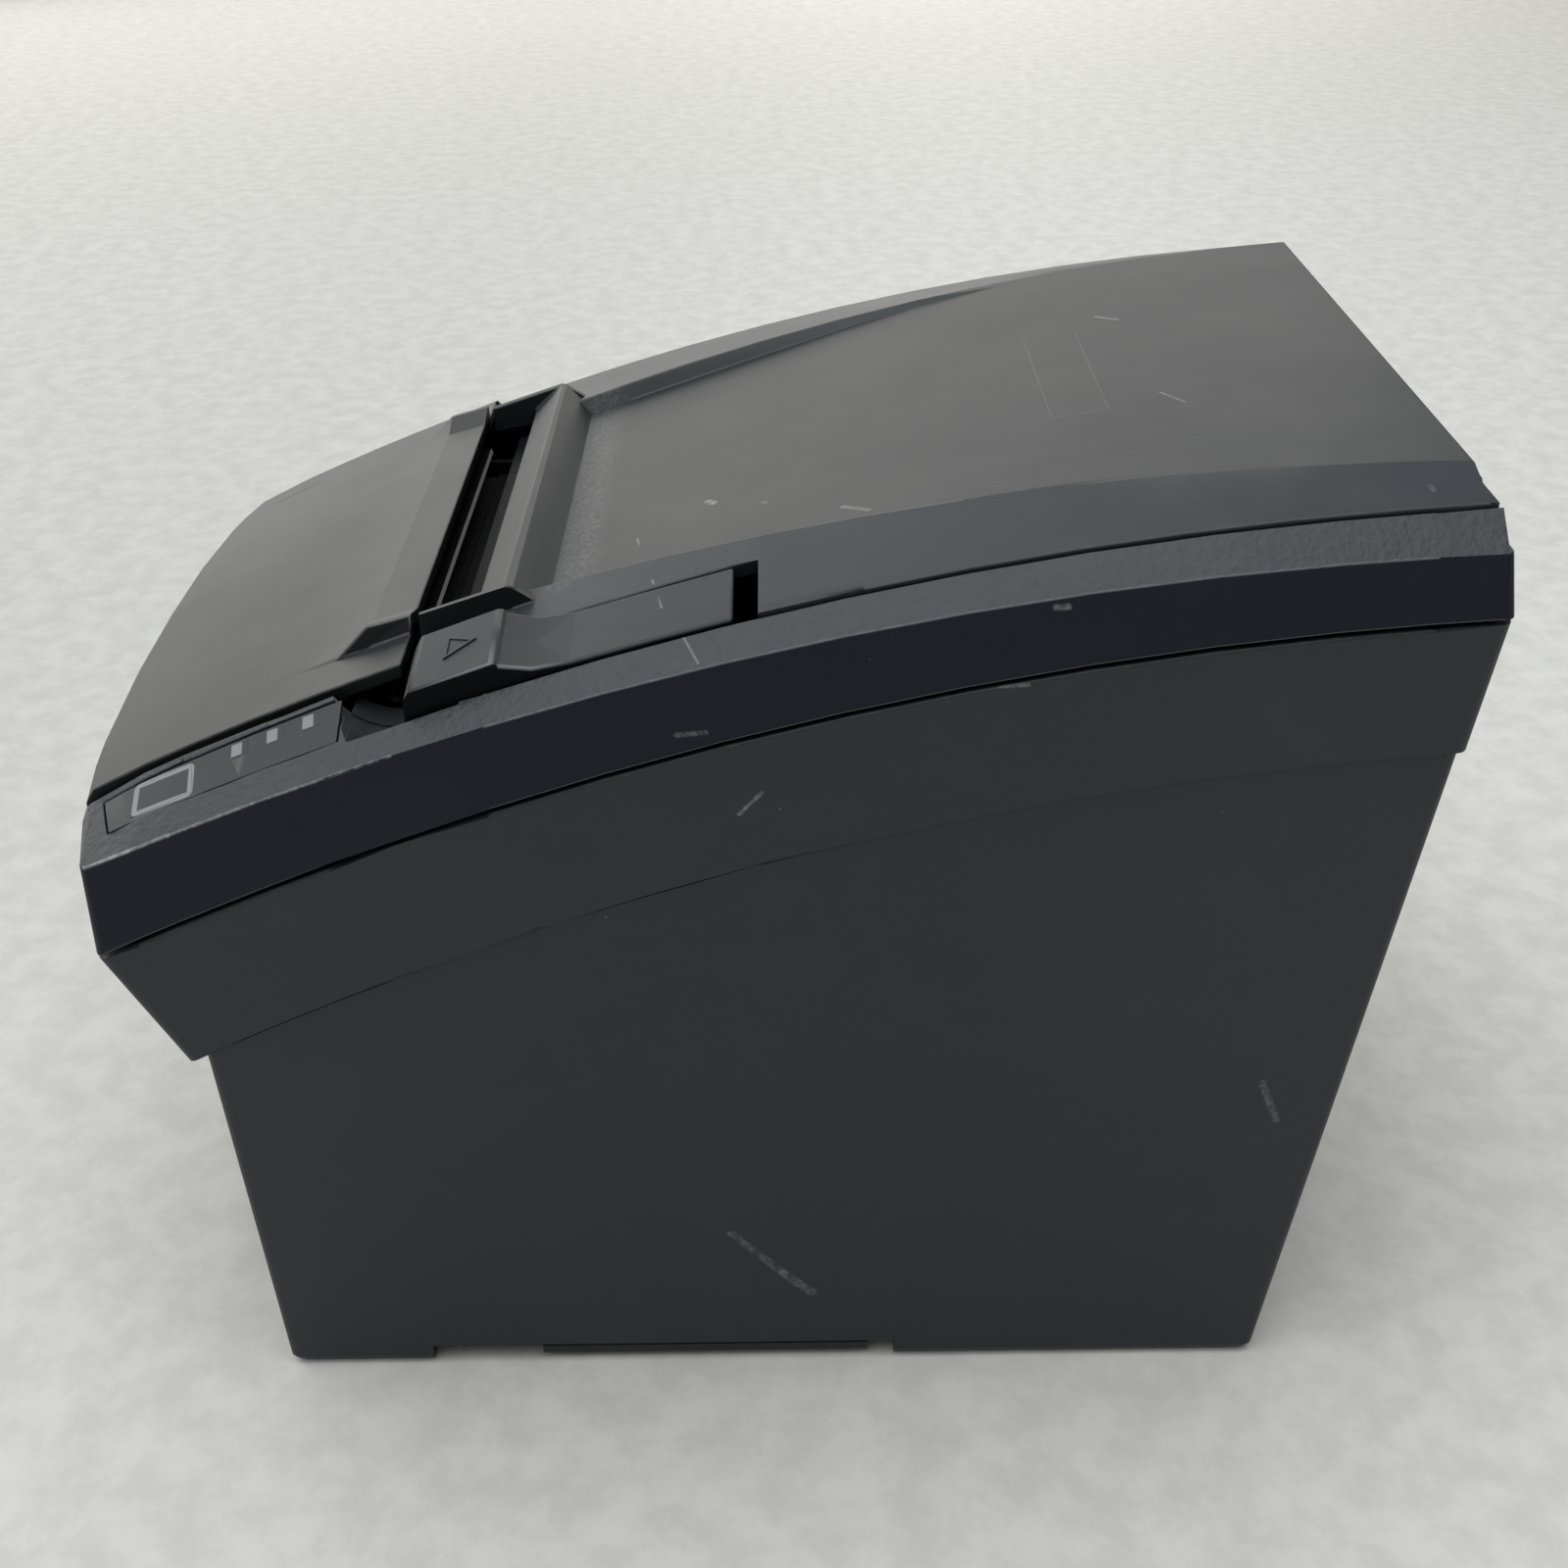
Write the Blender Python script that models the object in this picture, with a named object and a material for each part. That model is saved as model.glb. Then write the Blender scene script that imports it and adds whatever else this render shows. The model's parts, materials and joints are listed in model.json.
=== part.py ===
"""Desktop thermal receipt printer: housing, covers, print and cutter mechanism.

Units are metres. +Z is up, the front faces -Y, the control strip is on the +X side.
The origin is the middle of the footprint on the table.
"""
import math

import bmesh
import bpy
from mathutils import Matrix, Vector

for old in list(bpy.data.objects):
    bpy.data.objects.remove(old, do_unlink=True)

# Envelope
WIDTH = 0.145
DEPTH = 0.197
FRONT_BOW = 0.007
BOW_POWER = 4
CORNER = 0.0016
NOSE_LENGTH = 0.014
NOSE_LEAD = 0.003
FRONT_FALL = 0.43
WALL = 0.0024
SKIN = 0.0022
FIT = 0.0003
RUN = 0.0001
SEAM_GAP = 0.0008

# Side profile: height of the seam at the front corners and at the rear, and the rise of its arc
SEAM_FRONT = 0.0813
SEAM_REAR = 0.1300
SEAM_BULGE = 0.0100
# Other profile lines, measured up or down from the seam
BAND_FRONT = 0.0137
BAND_REAR = 0.0087
BAND_BULGE = 0.0096
SKIRT_FRONT = 0.0236
SKIRT_REAR = 0.0192
SKIRT_BULGE = 0.0110
CREST_FRONT = 0.0184
CREST_REAR = 0.0162
CREST_BULGE = 0.0101
HATCH_FRONT = 0.0196
HATCH_REAR = 0.0155
HATCH_BULGE = 0.0106

# Plan insets from the overall width
BAND_INSET = 0.0020
STRIP_INSET = 0.0068
DECK_INSET = 0.0152
DECK_FLARE = 0.0009
TUB_INSET = 0.0043
SKIRT_INSET = 0.0010
STRIP_SLOPE_FRONT = 0.40
STRIP_SLOPE_REAR = 0.92
STRIP_NOSE = 0.10
STRIP_THICK = 0.0034

# Paper path
PAPER = 0.080
PLATEN_BACK = 0.0550
PLATEN_DROP = 0.0150
PLATEN_R = 0.0065
SHAFT_R = 0.0020
BUSH_R = 0.0039
CUT_ANGLE = math.radians(20)
CUT_TRAVEL = 0.008
WELL_BACK = 0.0235
WELL_WALL = 0.0020
WELL_REAR_LEAN = 0.0008
WELL_CLEAR = 0.01237

# Gears
FEED_MODULE = 0.0008
PLATEN_TEETH = 18
IDLER_TEETH = 32
PINION_TEETH = 12
CUT_MODULE = 0.0006
CRANK_TEETH = 30
CUT_PINION_TEETH = 10
MESH_SLACK = 0.00015

# Covers
CREST_INSET_FRONT = 0.0304
CREST_INSET_REAR = 0.0159
SCOOP = 0.0027
RIDGE_RISE = 0.0030
RIDGE_BACK = 0.0573
HATCH_LENGTH = 0.0434
HATCH_CROWN = 0.0035
HATCH_NOSE = 0.0006
HINGE_DROP = 0.0056
WALL_DROP = 0.0022
LUG_R = 0.0018
LEVER_TRAVEL = 0.003
BUTTON_TRAVEL = 0.0005

HALF = WIDTH / 2
FRONT_Y = FRONT_BOW - DEPTH / 2
REAR_Y = DEPTH / 2
HALF_PAPER = PAPER / 2
PLATEN_Y = FRONT_Y + PLATEN_BACK
RIDGE_Y = FRONT_Y + RIDGE_BACK
HATCH_REAR_Y = FRONT_Y + HATCH_LENGTH
CREST_HALF_FRONT = HALF - CREST_INSET_FRONT
CREST_HALF_REAR = HALF - CREST_INSET_REAR
CREST_START = RIDGE_Y + 0.0052
CREST_END = REAR_Y - 0.0032
STRIP_X = HALF - STRIP_INSET
DECK_X = HALF - DECK_INSET
STEP_Y = HATCH_REAR_Y + 0.0002
FLOOR_UNDER = 0.0032
FLOOR_TOP = 0.0054
EDGE_Z = 0.0008


def arc(y, front, rear, bulge):
    t = (min(max(y, FRONT_Y), REAR_Y) - FRONT_Y) / (REAR_Y - FRONT_Y)
    return front * (1 - t) + rear * t + 4 * bulge * t * (1 - t)


def seam_z(y):
    return arc(y, SEAM_FRONT, SEAM_REAR, SEAM_BULGE)


def band_z(y):
    return arc(y, SEAM_FRONT + BAND_FRONT, SEAM_REAR + BAND_REAR, BAND_BULGE)


def skirt_z(y):
    return arc(y, SEAM_FRONT - SKIRT_FRONT, SEAM_REAR - SKIRT_REAR, SKIRT_BULGE)


def crest_z(y):
    return arc(y, SEAM_FRONT + CREST_FRONT, SEAM_REAR + CREST_REAR, CREST_BULGE)


def hatch_z(y):
    return arc(y, SEAM_FRONT + HATCH_FRONT, SEAM_REAR + HATCH_REAR, HATCH_BULGE)


def nose(back):
    """Share of the fall of a top face towards its front edge."""
    return max(0, 1 - max(back, 0) / NOSE_LENGTH) ** 2


def fall(y):
    """Drop of a top face ahead of the front corners, where the front is bowed."""
    return FRONT_FALL * max(0, FRONT_Y - y)


def bow(x):
    return FRONT_BOW * (1 - abs(x / HALF) ** BOW_POWER)


def strip_slope(y):
    return arc(y, STRIP_SLOPE_FRONT, STRIP_SLOPE_REAR, 0) - STRIP_NOSE * nose(y - FRONT_Y + NOSE_LEAD)


def strip_z(x, y):
    return band_z(y) - fall(y) + strip_slope(y) * (HALF - BAND_INSET - abs(x))


def smooth(a, b, value):
    t = min(max((value - a) / (b - a), 0), 1)
    return t * t * (3 - 2 * t)


def crest_x(y):
    t = (y - CREST_START) / (CREST_END - CREST_START)
    return CREST_HALF_FRONT + (CREST_HALF_REAR - CREST_HALF_FRONT) * t


COVER_X = STRIP_X - FIT
COVER_PROUD = 0.0005


def cover_edge_z(y):
    return strip_z(STRIP_X, y) + COVER_PROUD


def chamfer_z(x, y):
    t = (COVER_X - abs(x)) / (COVER_X - crest_x(y))
    return cover_edge_z(y) + (crest_z(y) - cover_edge_z(y)) * t


def floor_z(y):
    return crest_z(y) - SCOOP * (1 - smooth(CREST_START + 0.0090, CREST_END - 0.0403, y))


def spread(a, b, count):
    return [a + (b - a) * i / count for i in range(count + 1)]


PLATEN_Z = crest_z(PLATEN_Y) - PLATEN_DROP
CUT_Y = PLATEN_Y - 0.0105
CUT_Z = PLATEN_Z + 0.0080
RIDGE_TOP = crest_z(RIDGE_Y) + RIDGE_RISE
HINGE_Y = REAR_Y - 0.0040
HINGE_Z = crest_z(REAR_Y) - HINGE_DROP
PLATE_X = HALF_PAPER + 0.0085
PLATE_T = 0.0015


def material(name, color, rough=0.6, metal=0.0):
    mat = bpy.data.materials.new(name)
    mat.use_nodes = True
    shader = mat.node_tree.nodes["Principled BSDF"]
    shader.inputs["Base Color"].default_value = (*color, 1)
    shader.inputs["Roughness"].default_value = rough
    shader.inputs["Metallic"].default_value = metal
    return mat


TUB = material("tub_plastic", (0.030, 0.032, 0.036))
BAND = material("band_plastic", (0.020, 0.023, 0.032))
LID = material("cover_plastic", (0.095, 0.096, 0.092))
DARK = material("black_plastic", (0.012, 0.012, 0.013))
STEEL = material("steel", (0.55, 0.55, 0.56), 0.35, 1.0)
ALLOY = material("alloy", (0.62, 0.63, 0.65), 0.45, 1.0)
RUBBER = material("rubber", (0.015, 0.015, 0.015), 0.9)
GEAR = material("gear_plastic", (0.80, 0.79, 0.74), 0.5)
BOARD = material("board", (0.02, 0.10, 0.045), 0.5)
LENS = material("lens", (0.55, 0.58, 0.55), 0.3)
PRINT = material("head_ceramic", (0.75, 0.73, 0.68), 0.3)


def solid(name, points, faces, mat):
    mesh = bpy.data.meshes.new(name)
    mesh.from_pydata([tuple(p) for p in points], [], faces)
    work = bmesh.new()
    work.from_mesh(mesh)
    bmesh.ops.recalc_face_normals(work, faces=work.faces)
    quads = [face for face in work.faces if len(face.verts) == 4]
    bmesh.ops.connect_verts_nonplanar(work, angle_limit=0.0005, faces=quads)
    work.to_mesh(mesh)
    work.free()
    obj = bpy.data.objects.new(name, mesh)
    bpy.context.collection.objects.link(obj)
    if mat:
        mesh.materials.append(mat)
    return obj


def loft(name, rings, mat, loop=False):
    count = len(rings[0])
    points = [p for ring in rings for p in ring]
    faces = []
    spans = len(rings) if loop else len(rings) - 1
    for r in range(spans):
        a = r * count
        b = ((r + 1) % len(rings)) * count
        for i in range(count):
            j = (i + 1) % count
            faces.append((a + i, a + j, b + j, b + i))
    if not loop:
        faces.append(tuple(range(count)))
        last = (len(rings) - 1) * count
        faces.append(tuple(last + i for i in range(count)))
    return solid(name, points, faces, mat)


def slab(name, top, bottom, mat):
    """Closed sheet from two grids of points with the same rows and columns."""
    rows = len(top)
    cols = len(top[0])
    points = [p for row in top for p in row] + [p for row in bottom for p in row]
    shift = rows * cols
    faces = []
    for r in range(rows - 1):
        for c in range(cols - 1):
            a = r * cols + c
            quad = (a, a + 1, a + cols + 1, a + cols)
            faces.append(quad)
            faces.append(tuple(shift + v for v in reversed(quad)))
    border = [c for c in range(cols)]
    border += [r * cols + cols - 1 for r in range(1, rows)]
    border += [(rows - 1) * cols + c for c in range(cols - 2, -1, -1)]
    border += [r * cols for r in range(rows - 2, 0, -1)]
    for i, a in enumerate(border):
        b = border[(i + 1) % len(border)]
        faces.append((a, b, shift + b, shift + a))
    return solid(name, points, faces, mat)


def box(name, low, high, mat=None):
    rings = [[(low[0], low[1], z), (high[0], low[1], z), (high[0], high[1], z), (low[0], high[1], z)]
             for z in (low[2], high[2])]
    return loft(name, rings, mat)


def prism(name, profile, x0, x1, mat=None):
    return loft(name, [[(x, y, z) for y, z in profile] for x in (x0, x1)], mat)


def frame_of(start, axis):
    along = Vector(axis).normalized()
    side = Vector((0, 1, 0)) if abs(along.x) > 0.5 else Vector((1, 0, 0))
    side = (side - along * side.dot(along)).normalized()
    up = along.cross(side)
    return Matrix(((side.x, up.x, along.x, start[0]), (side.y, up.y, along.y, start[1]),
                   (side.z, up.z, along.z, start[2]), (0, 0, 0, 1)))


def rod(name, start, end, radius, mat=None, bore=0.0, steps=24):
    frame = frame_of(start, Vector(end) - Vector(start))
    length = (Vector(end) - Vector(start)).length
    turn = [2 * math.pi * i / steps for i in range(steps)]
    ends = [[frame @ Vector((radius * math.cos(a), radius * math.sin(a), h)) for a in turn]
            for h in (0, length)]
    if not bore:
        return loft(name, ends, mat)
    inner = [[frame @ Vector((bore * math.cos(a), bore * math.sin(a), h)) for a in turn]
             for h in (length, 0)]
    return loft(name, ends + inner, mat, loop=True)


def combine(target, tools, operation="DIFFERENCE"):
    for tool in tools:
        tool.hide_render = True
        tool.display_type = "WIRE"
        mod = target.modifiers.new(operation.lower(), "BOOLEAN")
        mod.operation = operation
        mod.solver = "EXACT"
        mod.object = tool
    graph = bpy.context.evaluated_depsgraph_get()
    mesh = bpy.data.meshes.new_from_object(target.evaluated_get(graph))
    target.modifiers.clear()
    target.data = mesh
    for tool in tools:
        bpy.data.objects.remove(tool, do_unlink=True)
    work = bmesh.new()
    work.from_mesh(mesh)
    bmesh.ops.remove_doubles(work, verts=work.verts, dist=0.000004)
    bmesh.ops.dissolve_degenerate(work, edges=work.edges, dist=0.000002)
    work.to_mesh(mesh)
    work.free()
    return target


def gear(name, teeth, module, centre, low, high, bore, phase, mat, frame=None):
    """Spur gear about local Z; teeth a little slim so that a meshed pair runs clear."""
    pitch = 2 * math.pi / teeth
    pitch_r = teeth * module / 2
    outline = []
    for i in range(teeth):
        middle = phase + i * pitch
        for share, radius in ((-0.29, -1.2), (-0.11, 0.85), (0.11, 0.85), (0.29, -1.2)):
            angle = middle + share * pitch
            r = pitch_r + radius * module
            outline.append((r * math.cos(angle), r * math.sin(angle)))
    hole = [(bore * math.cos(math.atan2(v, u)), bore * math.sin(math.atan2(v, u))) for u, v in outline]
    rings = [[(u, v, low) for u, v in outline], [(u, v, high) for u, v in outline]]
    if bore:
        rings += [[(u, v, high) for u, v in hole], [(u, v, low) for u, v in hole]]
    place = frame or Matrix(((0, 0, 1, 0), (1, 0, 0, centre[0]), (0, 1, 0, centre[1]), (0, 0, 0, 1)))
    rings = [[place @ Vector(p) for p in ring] for ring in rings]
    return loft(name, rings, mat, loop=bool(bore))


def meshed_phase(phase, teeth, angle, other_teeth):
    pitch = 2 * math.pi / teeth
    offset = (phase - angle + pitch / 2) % pitch - pitch / 2
    return angle + math.pi - offset * teeth / other_teeth + math.pi / other_teeth


def coil(name, start, end, radius, wire, turns, mat):
    frame = frame_of(start, Vector(end) - Vector(start))
    length = (Vector(end) - Vector(start)).length - 2 * wire
    steps = int(turns * 10)
    rings = []
    for i in range(steps + 1):
        angle = 2 * math.pi * turns * i / steps
        height = wire + length * i / steps
        out = Vector((math.cos(angle), math.sin(angle), 0))
        ring = []
        for k in range(5):
            b = 2 * math.pi * k / 5
            ring.append(frame @ (out * (radius + wire * math.cos(b)) + Vector((0, 0, height + wire * math.sin(b)))))
        rings.append(ring)
    return loft(name, rings, mat)


# Plan outlines share one point order, so that rings can be joined one to one
INNER_FRONT = FRONT_Y + 0.0010
INNER_REAR = REAR_Y - 0.0013
INNER_CORNER = 0.0006
SIDE_Y = [INNER_FRONT + INNER_CORNER, FRONT_Y + 0.006, FRONT_Y + 0.012, FRONT_Y + 0.024, FRONT_Y + 0.034,
          STEP_Y - 0.0001, STEP_Y + 0.0001]
SIDE_Y += spread(STEP_Y + 0.0127, REAR_Y - 0.0225, 7) + [REAR_Y - 0.0105, INNER_REAR - INNER_CORNER]
SHARES = [(y - SIDE_Y[0]) / (SIDE_Y[-1] - SIDE_Y[0]) for y in SIDE_Y]
CORNER_STEPS = 4
FRONT_STEPS = 12
REAR_STEPS = 4


def outline(side, front, rear, radius, share=1.0, fixed=False):
    points = []
    flat = side - radius
    low = front - share * bow(flat) + radius
    high = rear - radius
    along = [low + (high - low) * part for part in SHARES]
    if fixed:
        along = [low] + SIDE_Y[1:-1] + [high]

    def corner(cx, cy, start):
        for k in range(1, CORNER_STEPS):
            angle = start + math.pi / 2 * k / CORNER_STEPS
            points.append((cx + radius * math.cos(angle), cy + radius * math.sin(angle)))

    points += [(side, y) for y in along]
    corner(flat, high, 0)
    points += [(flat - 2 * flat * i / REAR_STEPS, rear) for i in range(REAR_STEPS + 1)]
    corner(-flat, high, math.pi / 2)
    points += [(-side, y) for y in reversed(along)]
    corner(-flat, low, math.pi)
    for i in range(FRONT_STEPS + 1):
        x = -flat + 2 * flat * i / FRONT_STEPS
        points.append((x, front - share * bow(x)))
    corner(flat, low, -math.pi / 2)
    return points


def lift(points, height):
    return [(x, y, height(x, y) if callable(height) else height) for x, y in points]


# Lower case: tapered tub with a stepped, flared skirt
TUB_X = HALF - TUB_INSET
TUB_FRONT = FRONT_Y + 0.0166
TUB_REAR = REAR_Y - 0.0203
STEP_FRONT = FRONT_Y + 0.0126
STEP_REAR = REAR_Y - 0.0038
SKIRT_BOTTOM_FRONT = FRONT_Y + 0.0100
SKIRT_BOTTOM_REAR = REAR_Y - 0.0030
RIM_X = HALF - 0.0018
RIM_FRONT = FRONT_Y + 0.0037
RIM_REAR = REAR_Y - 0.0017
base_outline = outline(TUB_X, TUB_FRONT, TUB_REAR, CORNER, 0.5)
rim_in = outline(TUB_X - WALL, TUB_FRONT + WALL, TUB_REAR - WALL, CORNER / 2, 0.5)
rim_out = outline(TUB_X - 0.0006, TUB_FRONT + 0.0006, TUB_REAR - 0.0006, CORNER, 0.5)
step_outline = outline(HALF - 0.0016, STEP_FRONT, STEP_REAR, CORNER, 0.8)
skirt_low = outline(HALF - SKIRT_INSET, SKIRT_BOTTOM_FRONT, SKIRT_BOTTOM_REAR, CORNER, 0.8)
skirt_top = outline(HALF - FIT, FRONT_Y + 0.0002, REAR_Y - 0.0002, CORNER)
lip_seat = outline(RIM_X, RIM_FRONT, RIM_REAR, CORNER)
wall_in = outline(HALF - 0.0040, STEP_FRONT + WALL, STEP_REAR - WALL, CORNER, 0.8)
lower_case = loft("lower_case", [
    lift(rim_in, FLOOR_UNDER),
    lift(rim_in, EDGE_Z),
    lift(rim_out, EDGE_Z),
    lift(base_outline, EDGE_Z + 0.0010),
    lift(step_outline, lambda x, y: skirt_z(y)),
    lift(skirt_low, lambda x, y: skirt_z(y)),
    lift(skirt_top, lambda x, y: seam_z(y) - SEAM_GAP / 2),
    lift(lip_seat, lambda x, y: seam_z(y) - SEAM_GAP / 2),
    lift(lip_seat, lambda x, y: seam_z(y) - 0.0046),
    lift(wall_in, lambda x, y: skirt_z(y)),
    lift(rim_in, FLOOR_TOP),
], TUB)

NOTCH_FRONT = TUB_FRONT + 0.0221
NOTCH_REAR = TUB_REAR - 0.0575
WINDOW_X = TUB_X - 0.0162
WINDOW_LOW = 0.0140
WINDOW_HIGH = 0.0480
SWITCH_Y = TUB_FRONT + 0.0249
SWITCH_Z = 0.0310
BOARD_Z = 0.0120
BOARD_T = 0.0016
BOARD_FRONT = TUB_FRONT + 0.0599
BOARD_REAR = TUB_REAR - 0.0082
BOARD_X = TUB_X - 0.0102
POST_R = 0.0030
POSTS = [(x, y) for x in (-BOARD_X + 2 * POST_R, BOARD_X - 2 * POST_R)
         for y in (BOARD_FRONT + 2 * POST_R, BOARD_REAR - 4 * POST_R)]
combine(lower_case, [rod("post", (x, y, FLOOR_TOP - 0.001), (x, y, BOARD_Z - FIT), POST_R)
                     for x, y in POSTS], "UNION")
combine(lower_case, [
    box("notch", (TUB_X - WALL - 0.0008, NOTCH_FRONT, -0.001), (HALF + 0.01, NOTCH_REAR, 0.0038)),
    box("window", (-WINDOW_X, TUB_REAR - 0.012, WINDOW_LOW), (WINDOW_X, REAR_Y + 0.01, WINDOW_HIGH)),
    box("switch_hole", (-HALF - 0.01, SWITCH_Y - 0.008, SWITCH_Z - 0.011),
        (-TUB_X + 0.010, SWITCH_Y + 0.008, SWITCH_Z + 0.011)),
])

# Bottom plate, feet and screws
plate_outline = outline(TUB_X - WALL - FIT, TUB_FRONT + WALL + FIT, TUB_REAR - WALL - FIT,
                        CORNER / 2, 0.5)
bottom_plate = loft("bottom_plate", [lift(plate_outline, 0.0015), lift(plate_outline, 0.0029)], STEEL)
combine(bottom_plate, [box("flange", (TUB_X - WALL - 0.004, NOTCH_FRONT + 0.0174, 0.0015),
                           (TUB_X - 0.0006, NOTCH_REAR - 0.0042, 0.0029))], "UNION")
FOOT_R = 0.006
for tag, sx, y in (("front_left", -1, TUB_FRONT + 0.015), ("front_right", 1, TUB_FRONT + 0.015),
                   ("rear_left", -1, TUB_REAR - 0.016), ("rear_right", 1, TUB_REAR - 0.016)):
    x = sx * (TUB_X - 0.016)
    rod("foot_" + tag, (x, y, 0), (x, y, 0.0015 - FIT), FOOT_R, RUBBER)

# Upper case: flared band, textured strip and a lip into the lower case


def deck_outline():
    """Inner edge of the strip: wide beside the hatch, narrow beside the paper cover."""
    points = outline(STRIP_X, INNER_FRONT, INNER_REAR, INNER_CORNER, fixed=True)
    front_points = outline(DECK_X, INNER_FRONT, INNER_REAR, INNER_CORNER, fixed=True)
    joined = []
    for wide, narrow in zip(points, front_points):
        x, y = narrow
        if abs(x) > DECK_X - 0.00001:
            x += math.copysign(DECK_FLARE * (y - FRONT_Y) / HATCH_LENGTH, x)
        joined.append((x, y) if wide[1] < STEP_Y else wide)
    return joined


def deck_height(x, y):
    if y > INNER_REAR - INNER_CORNER * 0.5 and abs(x) < STRIP_X:
        return rear_wall_z()
    if y < INNER_FRONT - 0.00001 and abs(x) < DECK_X:
        crown = HATCH_CROWN * (1 - (x / DECK_X) ** 2)
        return hatch_z(FRONT_Y) + crown - fall(y) - SKIN - HATCH_NOSE - 0.0004
    return strip_z(x, y)


def rear_wall_z():
    return HINGE_Z - WALL_DROP


def band_height(x, y):
    if y > REAR_Y - 0.0012 and abs(x) < STRIP_X + 0.0005:
        return rear_wall_z()
    return band_z(y)


deck = deck_outline()
band_edge = outline(HALF - BAND_INSET, FRONT_Y, REAR_Y - 0.0008, CORNER * 0.8, fixed=True)
under = outline(HALF - 0.0042, FRONT_Y + 0.0027, REAR_Y - 0.0019, CORNER * 0.6, fixed=True)
lip_in = outline(RIM_X - FIT - 0.0012, RIM_FRONT + FIT + 0.0012, RIM_REAR - FIT - 0.0012, CORNER, fixed=True)
lip_out = outline(RIM_X - FIT, RIM_FRONT + FIT, RIM_REAR - FIT, CORNER, fixed=True)


def under_height(x, y):
    return min(band_z(y) - STRIP_THICK, rear_wall_z() - STRIP_THICK - 0.0005)


upper_case = loft("upper_case", [
    lift(outline(HALF, FRONT_Y, REAR_Y, CORNER, fixed=True), lambda x, y: seam_z(y) + SEAM_GAP / 2),
    lift(band_edge, band_height),
    lift(deck, deck_height),
    lift(deck, lambda x, y: deck_height(x, y) - STRIP_THICK),
    lift(under, under_height),
    lift(lip_in, lambda x, y: seam_z(y) - 0.0035),
    lift(lip_out, lambda x, y: seam_z(y) - 0.0035),
    lift(lip_out, lambda x, y: seam_z(y) + SEAM_GAP / 2),
], BAND, loop=True)

LUG_IN = COVER_X - 0.0054
LUG_OUT = COVER_X - 0.0024
LEVER_IN = HALF - 0.0202
LEVER_OUT = STRIP_X - 0.0005
LEVER_FRONT = RIDGE_Y - 0.0124
LEVER_REAR = RIDGE_Y + 0.0322
LEVER_T = 0.0030
SHELF_GAP = 0.0005
POCKET_FRONT = HATCH_REAR_Y - 0.0086
POCKET_Y = HATCH_REAR_Y - 0.0008
POCKET_R = 0.0105


def strip_block(name, x0, x1, stations, top, thick, lead=0.0):
    """Ruled block whose top follows a height function along the strip; its inner front corner leads."""
    last = len(stations) - 1
    plan = [[(x0, y - lead * (1 - k / last)), (x1, y)] for k, y in enumerate(stations)]
    upper = [[(x, y, top(x, y)) for x, y in row] for row in plan]
    lower = [[(x, y, z - thick) for x, y, z in row] for row in upper]
    return slab(name, upper, lower, None)


def lever_base(x, y):
    return chamfer_z(x, y) - LEVER_T


tools = [
    strip_block("pocket_block", DECK_X + DECK_FLARE + 0.0004, STRIP_X + 0.0030,
                spread(POCKET_FRONT - 0.0015, LEVER_FRONT - FIT, 4),
                lambda x, y: strip_z(x, y) - 0.0004, 0.0090),
    strip_block("lever_shelf", LEVER_IN + 0.0090, STRIP_X + 0.0033,
                spread(LEVER_FRONT - 0.0010, LEVER_REAR + LEVER_TRAVEL + 0.0002, 6),
                lambda x, y: lever_base(min(x, LEVER_OUT), y) - SHELF_GAP, 0.0020),
]
for side in (-1, 1):
    low = min(side * LUG_IN, side * LUG_OUT)
    high = max(side * LUG_IN, side * LUG_OUT)
    turn = [math.pi * i / 8 for i in range(9)]
    lug = [(HINGE_Y + LUG_R * math.cos(a), HINGE_Z + LUG_R * math.sin(a)) for a in turn]
    lug += [(HINGE_Y - LUG_R, HINGE_Z - 0.0090), (REAR_Y - 0.0016, HINGE_Z - 0.0090),
            (REAR_Y - 0.0016, HINGE_Z - WALL_DROP - 0.0014), (HINGE_Y + LUG_R, HINGE_Z - WALL_DROP - 0.0008)]
    tools.append(prism("lug", lug, low, high))
combine(upper_case, tools, "UNION")

PANEL_IN = DECK_X + DECK_FLARE + 0.0008
PANEL_OUT = HALF - 0.0073
PANEL_FRONT = FRONT_Y + 0.0022
PANEL_REAR = POCKET_FRONT + 0.0005
PANEL_DROP = 0.0002
PANEL_LEAD = 0.0022
PANEL_T = 0.0008


def strip_frame(x, y):
    step = 0.001
    along = Vector((0, 2 * step, strip_z(x, y + step) - strip_z(x, y - step))).normalized()
    across = Vector((1, 0, -strip_slope(y)))
    normal = across.cross(along).normalized()
    across = along.cross(normal)
    origin = (x, y, strip_z(x, y))
    return Matrix(((across.x, along.x, normal.x, origin[0]), (across.y, along.y, normal.y, origin[1]),
                   (across.z, along.z, normal.z, origin[2]), (0, 0, 0, 1)))


def local_box(name, frame, low, high, mat=None):
    rings = [[(low[0], low[1], z), (high[0], low[1], z), (high[0], high[1], z), (low[0], high[1], z)]
             for z in (low[2], high[2])]
    return loft(name, [[frame @ Vector(p) for p in ring] for ring in rings], mat)


BUTTON_Y = FRONT_Y + 0.0093
BUTTON_X = (PANEL_IN + PANEL_OUT) / 2
BUTTON_HALF_X = 0.0025
BUTTON_HALF_Y = 0.0046
button_frame = strip_frame(BUTTON_X, BUTTON_Y)
LED_X = PANEL_IN + 0.0015
LED_PITCH = 0.0052
LED_Y = [PANEL_REAR - 0.0043 - LED_PITCH * i for i in (2, 1, 0)]
LED_HALF = 0.0010
led_frames = [strip_frame(LED_X, y) for y in LED_Y]
PIN_R = 0.0012
PIN_GAP = 0.0003


def panel_hole(name, frame, half_x, half_y):
    return local_box(name, frame, (-half_x - FIT, -half_y - FIT, -0.008), (half_x + FIT, half_y + FIT, 0.004))


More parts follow.
